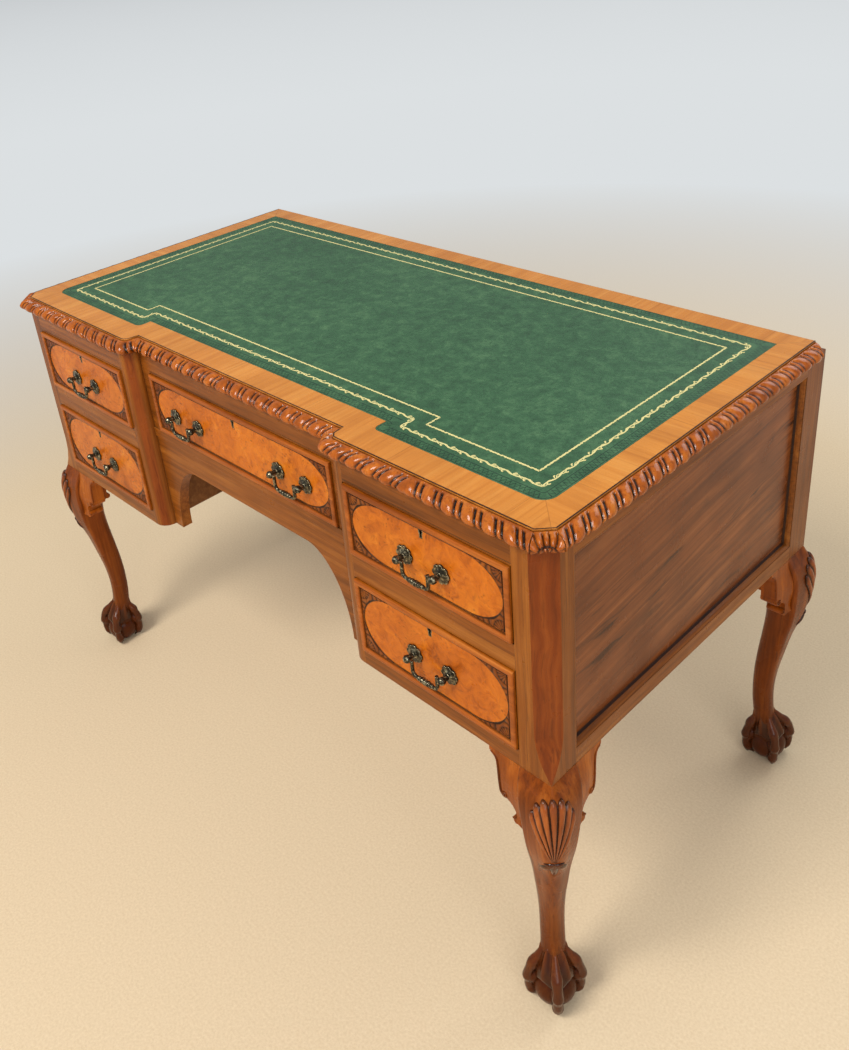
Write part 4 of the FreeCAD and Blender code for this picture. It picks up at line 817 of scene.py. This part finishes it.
def drawer_inlay(body, field):
    """The oval line, the border line and the four spandrels of one drawer's front."""
    low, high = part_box(body + "_front")
    middle = Vector(((low.x + high.x) / 2, field, (low.z + high.z) / 2))
    half_wide, half_high = (high.x - low.x) / 2 - BEAD, (high.z - low.z) / 2 - BEAD

    def at(x, z):
        return middle + Vector((x, 0, z))

    lines = Gather()
    border = [at(x * (half_wide - BORDER_IN), z * (half_high - BORDER_IN)) for x, z in SQUARE]
    for start, end in zip(border, border[1:] + border[:1]):
        lines.ribbon([start, end], STRING, FACE, STRING_PROUD, STRING_SUNK)
    oval = []
    for quarter, (x, z) in enumerate(QUARTERS):
        for step in range(25):
            angle = math.pi / 2 * (step / 24 if quarter % 2 == 0 else 1 - step / 24)
            spot = spandrel_point(angle, 0.0, half_wide, half_high)
            oval.append(at(x * spot.x, z * spot.y))
    lines.ribbon(oval, OVAL_STRING, FACE, OVAL_PROUD, STRING_SUNK, closed=True)
    lines.make(body + "_string_inlay", "string", body, smooth=False)

    leaves = Gather()
    corner = Vector((half_wide - SPANDREL_MARGIN, half_high - SPANDREL_MARGIN))
    for x, z in QUARTERS:
        def carving(along, depth, x=x, z=z):
            spot = spandrel_point(math.radians(8 + 74 * along), depth, half_wide, half_high)
            deep = spandrel_cut(spot, corner, depth)
            ground = at(x * spot.x, z * spot.y)
            top = ground + FACE * (SPANDREL_GROUND + SPANDREL_RELIEF * (1 - deep))
            # the third value paints shade into the deepest parts of the carving
            return top, ground - FACE * SPANDREL_SUNK, min(1.0, deep * 1.3)
        leaves.relief(SPANDREL_ROWS, SPANDREL_COLUMNS, carving)
    leaves.make(body + "_spandrels", "spandrel", body)


for level in ("upper", "lower"):
    for side, _ in HANDS:
        drawer_inlay("drawer_%s_%s" % (level, side), FRONT - FIELD_PROUD)
drawer_inlay("drawer_centre", RECESS - FIELD_PROUD)


# Carving on the legs: shells, husks, scrolled ears and paws
def surface(*names):
    """A tree for finding points on the CAD nodes' skins."""
    points, faces = [], []
    for name in names:
        mesh = nodes[name].data
        start = len(points)
        points += [vertex.co.copy() for vertex in mesh.vertices]
        faces += [tuple(start + index for index in face.vertices) for face in mesh.polygons]
    return BVHTree.FromPolygons(points, faces)


# The shell: height of its hinge, rise, hinge's radius, half angle and number of flutes
SHELL_FOOT, SHELL_RISE, SHELL_HINGE, SHELL_SPREAD, SHELL_FLUTES = 0.303, 0.112, 0.010, math.radians(19.5), 7
# Relief of the flutes at the hinge and beyond it, and how deep all carving is sunk in the knee
FLUTE_LOW, FLUTE_HIGH, KNEE_SUNK = 0.0006, 0.0046, 0.0015
# Leaves of the husk under the shell: lean from straight down in degrees, length and half width
HUSK = (
    (-78, 0.013, 0.0028), (78, 0.013, 0.0028), (-40, 0.026, 0.0044), (40, 0.026, 0.0044), (0, 0.034, 0.0046),
)
# How far above the shell's hinge the leaves start, and their relief at the edge and on the crown
HUSK_UP, HUSK_LOW, HUSK_HIGH = 0.004, 0.0004, 0.0026


def knee_shell(label, skin, foot, outward):
    """A shell laid on the knee, with a husk hanging below it."""
    across = UP.cross(outward)
    work = Gather()

    def land(x, z):
        spot = Vector((foot.x, foot.y, z)) + outward * 0.2 + across * x
        hit, normal, _, _ = skin.ray_cast(spot, -outward)
        return hit, (normal if normal.dot(outward) > 0 else -normal)

    def lay(rows, columns, place, height):
        def at(a, b):
            hit, normal = land(*place(a, b))
            rise, cut = height(a, b)
            return hit + normal * rise, hit - normal * KNEE_SUNK, cut
        work.relief(rows, columns, at)

    def flute(b):
        turn = (b - 0.5) * 2
        return turn, abs(math.cos(math.pi * SHELL_FLUTES * turn / 2))

    def fan(a, b):
        turn, rib = flute(b)
        reach = SHELL_RISE * (1 - 0.30 * turn * turn) * (0.93 + 0.07 * rib ** 0.7)
        radius = SHELL_HINGE + (reach - SHELL_HINGE) * a
        return radius * math.sin(turn * SHELL_SPREAD), SHELL_FOOT + radius * math.cos(turn * SHELL_SPREAD)

    def flutes(a, b):
        _, rib = flute(b)
        ending = math.sqrt(max(0.0, 1 - max(0.0, (a - 0.86) / 0.14) ** 2))
        rise = (FLUTE_LOW + FLUTE_HIGH * min(1.0, a * 1.5) ** 0.7) * (0.12 + 0.88 * rib ** 0.6)
        # the second value is painted shade, between the flutes and round their heads
        return rise * (0.25 + 0.75 * ending), max(0.0, min(1.0, max(1.25 - rib * 2.1, (a - 0.92) * 11)))

    def swell(a, b):
        crown = 1 - ((b - 0.5) * 2) ** 2
        # the second value darkens the leaves, most of all at their edges
        return HUSK_LOW + HUSK_HIGH * crown * math.sin(math.pi * (0.1 + 0.85 * a)), 0.66 + 0.34 * (1 - crown)

    lay(40, 99, fan, flutes)
    for lean, length, girth in HUSK:
        tilt = math.radians(lean)

        def petal(a, b, tilt=tilt, length=length, girth=girth):
            wide = girth * math.sin(math.pi * min(1.0, 0.12 + a * 0.88)) ** 0.8 * (b - 0.5) * 2
            x = a * length * math.sin(tilt) + wide * math.cos(tilt)
            z = SHELL_FOOT + HUSK_UP - a * length * math.cos(tilt) + wide * math.sin(tilt)
            return x, z
        lay(12, 9, petal, swell)
    work.make("shell_" + label, "shell")


# Reach and drop of a bracket, and the bead's and the inner volute's lines and girths as shares of them
EAR_REACH, EAR_TALL, EAR_BEAD, EAR_INNER = 0.097, 0.097, 0.0017, 0.0015
EAR_EDGE = (
    (0.978, 0.070), (0.920, 0.098), (0.882, 0.145), (0.862, 0.205), (0.848, 0.300), (0.838, 0.420),
    (0.828, 0.540), (0.815, 0.640), (0.780, 0.685), (0.735, 0.690), (0.712, 0.660), (0.728, 0.628),
    (0.760, 0.632), (0.768, 0.655),
)
EAR_HOLLOW = (
    (0.690, 0.715), (0.630, 0.735), (0.585, 0.780), (0.565, 0.835), (0.552, 0.900), (0.572, 0.945),
    (0.600, 0.950), (0.608, 0.915), (0.588, 0.895),
)


def smooth_path(points, count):
    """Points along a smooth line through a few given ones."""
    line = []
    for index in range(len(points) - 1):
        a, b, c, d = (points[min(max(index + k, 0), len(points) - 1)] for k in (-1, 0, 1, 2))
        for step in range(count):
            t = step / count
            line.append(tuple(0.5 * (2 * q + (r - p) * t + (2 * p - 5 * q + 4 * r - s) * t * t
                              + (3 * q - p - 3 * r + s) * t ** 3) for p, q, r, s in zip(a, b, c, d)))
    return line + [points[-1]]


def ear_scrolls(label, skin, corner, along, outward):
    """The raised bead and the two volutes on one bracket."""
    work = Gather()
    for shares, thick in ((EAR_EDGE, EAR_BEAD), (EAR_HOLLOW, EAR_INNER)):
        path = []
        for reach, drop in smooth_path(shares, 5):
            spot = corner + along * (EAR_REACH * reach) - UP * (EAR_TALL * drop)
            hit, _, _, _ = skin.ray_cast(spot + outward * 0.1, -outward)
            if hit is not None:
                path.append(hit)
        radii = [thick * (0.55 + 0.45 * min(1.0, 4 * k / len(path))) for k in range(len(path))]
        if len(path) > 3:
            work.cord(path, radii)
    work.make("ear_scroll_" + label, "leg")


# A toe from the ankle over its knuckles to the claw: distance from the foot's middle, height and girth
TOE = (
    (0.0120, 0.0940, 0.0030), (0.0165, 0.0860, 0.0048), (0.0215, 0.0770, 0.0066), (0.0282, 0.0680, 0.0084),
    (0.0325, 0.0600, 0.0070), (0.0352, 0.0510, 0.0072), (0.0360, 0.0435, 0.0082), (0.0356, 0.0365, 0.0064),
    (0.0350, 0.0300, 0.0068), (0.0342, 0.0220, 0.0070), (0.0330, 0.0130, 0.0052), (0.0310, 0.0060, 0.0030),
)
# The web between two toes, from the ankle to its lip on the ball: distance from the foot's middle and height
WEB = (
    (0.0100, 0.0980), (0.0152, 0.0890), (0.0192, 0.0800), (0.0224, 0.0715), (0.0246, 0.0645),
    (0.0258, 0.0595), (0.0260, 0.0568), (0.0251, 0.0550), (0.0195, 0.0530),
)
# The web's points round the foot, its rib, and how far it rises out and drops towards the toes
WEB_STEPS, WEB_RIB, WEB_RISE, WEB_DROP = 72, 0.0044, 0.0025, 0.0080
# How far the ankle leans back, and the heights between which it does so
ANKLE_LEAN, LEAN_FROM, LEAN_OVER = 0.0085, 0.060, 0.040


def paw(label, foot, outward):
    """The toes that grip the ball and the webs between them; towards the ankle they lean back."""
    work = Gather()

    def at(turn, reach, level):
        back = ANKLE_LEAN * max(0.0, (level - LEAN_FROM) / LEAN_OVER)
        return foot + Matrix.Rotation(turn, 3, "Z") @ outward * reach + UP * level - outward * back

    toe = smooth_path(TOE, 6)
    for quarter in range(4):
        path = [at(quarter * math.pi / 2, reach, level) for reach, level, _ in toe]
        work.cord(path, [girth for _, _, girth in toe], 14)
    loops, groove_shades = [], []
    for reach, level in smooth_path(WEB, 4):
        down = (WEB[0][1] - level) / (WEB[0][1] - WEB[-1][1])
        loop = []
        for step in range(WEB_STEPS):
            turn = 2 * math.pi * step / WEB_STEPS
            between = math.sin(2 * turn) ** 2
            rib = between ** 8
            out = reach + WEB_RIB * rib * (1 - down * down) + WEB_RISE * (1 - between) * down
            loop.append(at(turn, out, level - WEB_DROP * (1 - between) * down * down))
            # painted shade: a dark line under the web's lip on the ball, and darker web beside the rib
            groove_shades.append(1.0 if down > 0.96 else 0.80 * between * (1 - rib))
        loops.append(loop)
    work.tube(loops, groove_shades=groove_shades)
    work.make("paw_" + label, "paw")


# How far a foot's middle lies inside the carcass
FOOT_INSET = 0.01765
for end, toward, plane in (("front", -1, FRONT), ("rear", 1, BACK)):
    for side, hand in HANDS:
        label = "%s_%s" % (end, side)
        skin = surface("leg_" + label, "knee_brackets")
        foot = flat(hand * (SIDE - FOOT_INSET), plane - toward * FOOT_INSET)
        outward = flat(hand, toward).normalized()
        knee_shell(label, skin, foot, outward)
        paw(label, foot, outward)
        corner = Vector((hand * SIDE, plane, LEG_TOP))
        across, inward = flat(-hand, 0), flat(0, -toward)
        ear_scrolls(label + "_facing", skin, corner, across, -inward)
        ear_scrolls(label + "_flank", skin, corner, inward, -across)

# Mouldings round the sunk side panels, with a dark strip of painted shadow along the panel: depth of the
# panel, width of the stiles, lower and upper edge
PANEL_SUNK, STILE_WIDE, PANEL_LOW, PANEL_HIGH = 0.010, 0.048, 0.452, 0.734
MOULD = (
    (0.0, 0.0), (0.0050, 0.0), (0.0050, 0.0030), (0.0042, 0.0060), (0.0026, 0.0084), (0.0010, 0.0092),
    (0.0, 0.0092),
)
# painted shadow: a dark strip where the moulding meets the panel
SHADOW_STRIP = ((0.0040, 0.0), (0.0076, 0.0), (0.0076, 0.0004), (0.0052, 0.0030), (0.0040, 0.0030))
for side, hand in HANDS:
    face = hand * (SIDE - PANEL_SUNK)
    near, far = FRONT + STILE_WIDE, BACK - STILE_WIDE
    spots = (
        (near, PANEL_LOW, 1, 1), (far, PANEL_LOW, -1, 1),
        (far, PANEL_HIGH, -1, -1), (near, PANEL_HIGH, 1, -1),
    )
    for label, section, look in (("panel_moulding_", MOULD, "deep"), ("panel_shadow_strip_", SHADOW_STRIP, "string")):
        strip = Gather()
        strip.tube([
            [Vector((face + hand * out, y + turn_y * wide, z + turn_z * wide)) for wide, out in section]
            for y, z, turn_y, turn_z in spots
        ], closed=True)
        strip.make(label + side, look, smooth=False)

# String lines on the rails, and a dark line of painted shadow round the top
RAIL_STRINGS = ((-0.545, -0.270, FRONT), (0.270, 0.545, FRONT), (-0.220, 0.220, RECESS))
RAIL_STRING_LEVEL, TOP_SHADOW_LINE, THIN = 0.7272, 0.0020, 0.0001
strings = Gather()
for left, right, plane in RAIL_STRINGS:
    ends = [Vector((x, plane, RAIL_STRING_LEVEL)) for x in (left, right)]
    strings.ribbon(ends, STRING, FACE, THIN, STRING_SUNK)
strings.make("rail_strings", "string", smooth=False)

# painted shadow: a dark strip round the top, in the gap before the carved edge
shadow_line_half = TOP_SHADOW_LINE / 2
top_line = [pedestal_path(1)(share / 40, -shadow_line_half) for share in range(41)]
top_line += [flat(TOP_HALF - shadow_line_half, y) for y in (TOP_FRONT + TOP_CANT + 0.0004, TOP_BACK)]
top_line = [flat(-spot.x, spot.y) for spot in reversed(top_line)] + top_line
top_shadow_line = Gather()
top_shadow_line.ribbon([spot + UP * HIDE_TOP for spot in top_line], TOP_SHADOW_LINE, UP, THIN, STRING_SUNK)
top_shadow_line.make("top_edge_shadow_line", "string", smooth=False)


# Light, floor and camera
# Soft square lamps: name, place, width, watts and colour; all are aimed at the middle of the desk
LAMPS = (
    ("key_light", (0.0, -2.6, 3.3), 1.4, 104, (1.0, 0.97, 0.92)),
    ("fill_light", (2.8, -1.6, 2.2), 2.2, 36, (0.95, 0.97, 1.0)),
    ("back_light", (0.6, 2.4, 2.6), 2.0, 30, (0.95, 0.98, 1.0)),
)
for name, spot, width, watts, colour in LAMPS:
    lamp = bpy.data.lights.new(name, "AREA")
    lamp.shape = "SQUARE"
    lamp.size = width
    lamp.energy = watts
    lamp.color = colour
    holder = bpy.data.objects.new(name, lamp)
    holder.location = spot
    holder.rotation_euler = (Vector((0, 0, 0.5)) - Vector(spot)).to_track_quat("-Z", "Y").to_euler()
    bpy.context.scene.collection.objects.link(holder)

# The sky's colour and strength, and the colour that the floor fades to, which is about their product
SKY, SKY_STRENGTH, HAZE = (0.93, 0.96, 1.0, 1.0), 0.42, (0.391, 0.403, 0.420, 1.0)
world = bpy.data.worlds.new("studio")
bpy.context.scene.world = world
world.use_nodes = True
world.node_tree.nodes["Background"].inputs[0].default_value = SKY
world.node_tree.nodes["Background"].inputs[1].default_value = SKY_STRENGTH

FLOOR_HALF = 90
floor_mesh = bpy.data.meshes.new("floor")
floor_mesh.from_pydata([(x * FLOOR_HALF, y * FLOOR_HALF, 0) for x, y in SQUARE], [], [(0, 1, 2, 3)])
floor = bpy.data.objects.new("floor", floor_mesh)
bpy.context.scene.collection.objects.link(floor)
ground = Graph("pale_floor")
speck = ground.speckle(ground.place(), 260.0, 3.0, 0.6)
ground.finish(ground.ramp(speck, (0.3, rgb(222, 198, 162)), (0.7, rgb(234, 212, 178))), 0.9, speck, 0.0004)
away = ground.node("VectorMath", {"operation": "LENGTH"}, in_0=ground.place()).outputs["Value"]
seen = ground.node("LightPath").outputs
rays = ground.sums("MAXIMUM", seen["Is Camera Ray"], ground.sums(
    "MAXIMUM", seen["Is Glossy Ray"], seen["Is Transmission Ray"]))
distant = ground.mix(ground.span(away, 6.0, 40.0), rgb(220, 224, 226), HAZE)
haze = ground.node("Emission", Color=distant)
faded = ground.node(
    "MixShader", in_0=ground.sums("MULTIPLY", rays, ground.span(away, 1.3, 3.4)),
    in_1=ground.shader.outputs[0], in_2=haze.outputs[0],
)
ground.put(ground.end.inputs["Surface"], faded.outputs[0])
floor_mesh.materials.append(ground.material)

# The photo's frame in pixels, its focal length and the point that the camera's axis meets
PHOTO_WIDE, PHOTO_TALL, FOCAL, AXIS_X, AXIS_Y = 849, 1050, 1021.3, 392.0, 392.8
CAMERA_SPOT = (1.1398, -0.9710, 1.3951)
azimuth, elevation, roll = math.radians(48.74), math.radians(26.92), math.radians(-5.78)
lens = bpy.data.cameras.new("photo_camera")
lens.sensor_fit = "AUTO"
lens.sensor_width = 36
lens.lens = 36 * FOCAL / PHOTO_TALL
lens.shift_x = (PHOTO_WIDE / 2 - AXIS_X) / PHOTO_TALL
lens.shift_y = (AXIS_Y - PHOTO_TALL / 2) / PHOTO_TALL
lens.clip_start = 0.01
camera = bpy.data.objects.new("photo_camera", lens)
level = math.cos(elevation)
ahead = Vector((-math.sin(azimuth) * level, math.cos(azimuth) * level, -math.sin(elevation)))
right = ahead.cross(UP).normalized()
above = right.cross(ahead)
wide = right * math.cos(roll) + above * math.sin(roll)
tall = above * math.cos(roll) - right * math.sin(roll)
stand = Matrix((wide, tall, -ahead)).transposed().to_4x4()
stand.translation = CAMERA_SPOT
camera.matrix_world = stand
bpy.context.scene.collection.objects.link(camera)
bpy.context.scene.camera = camera
bpy.context.scene.view_settings.view_transform = "Standard"
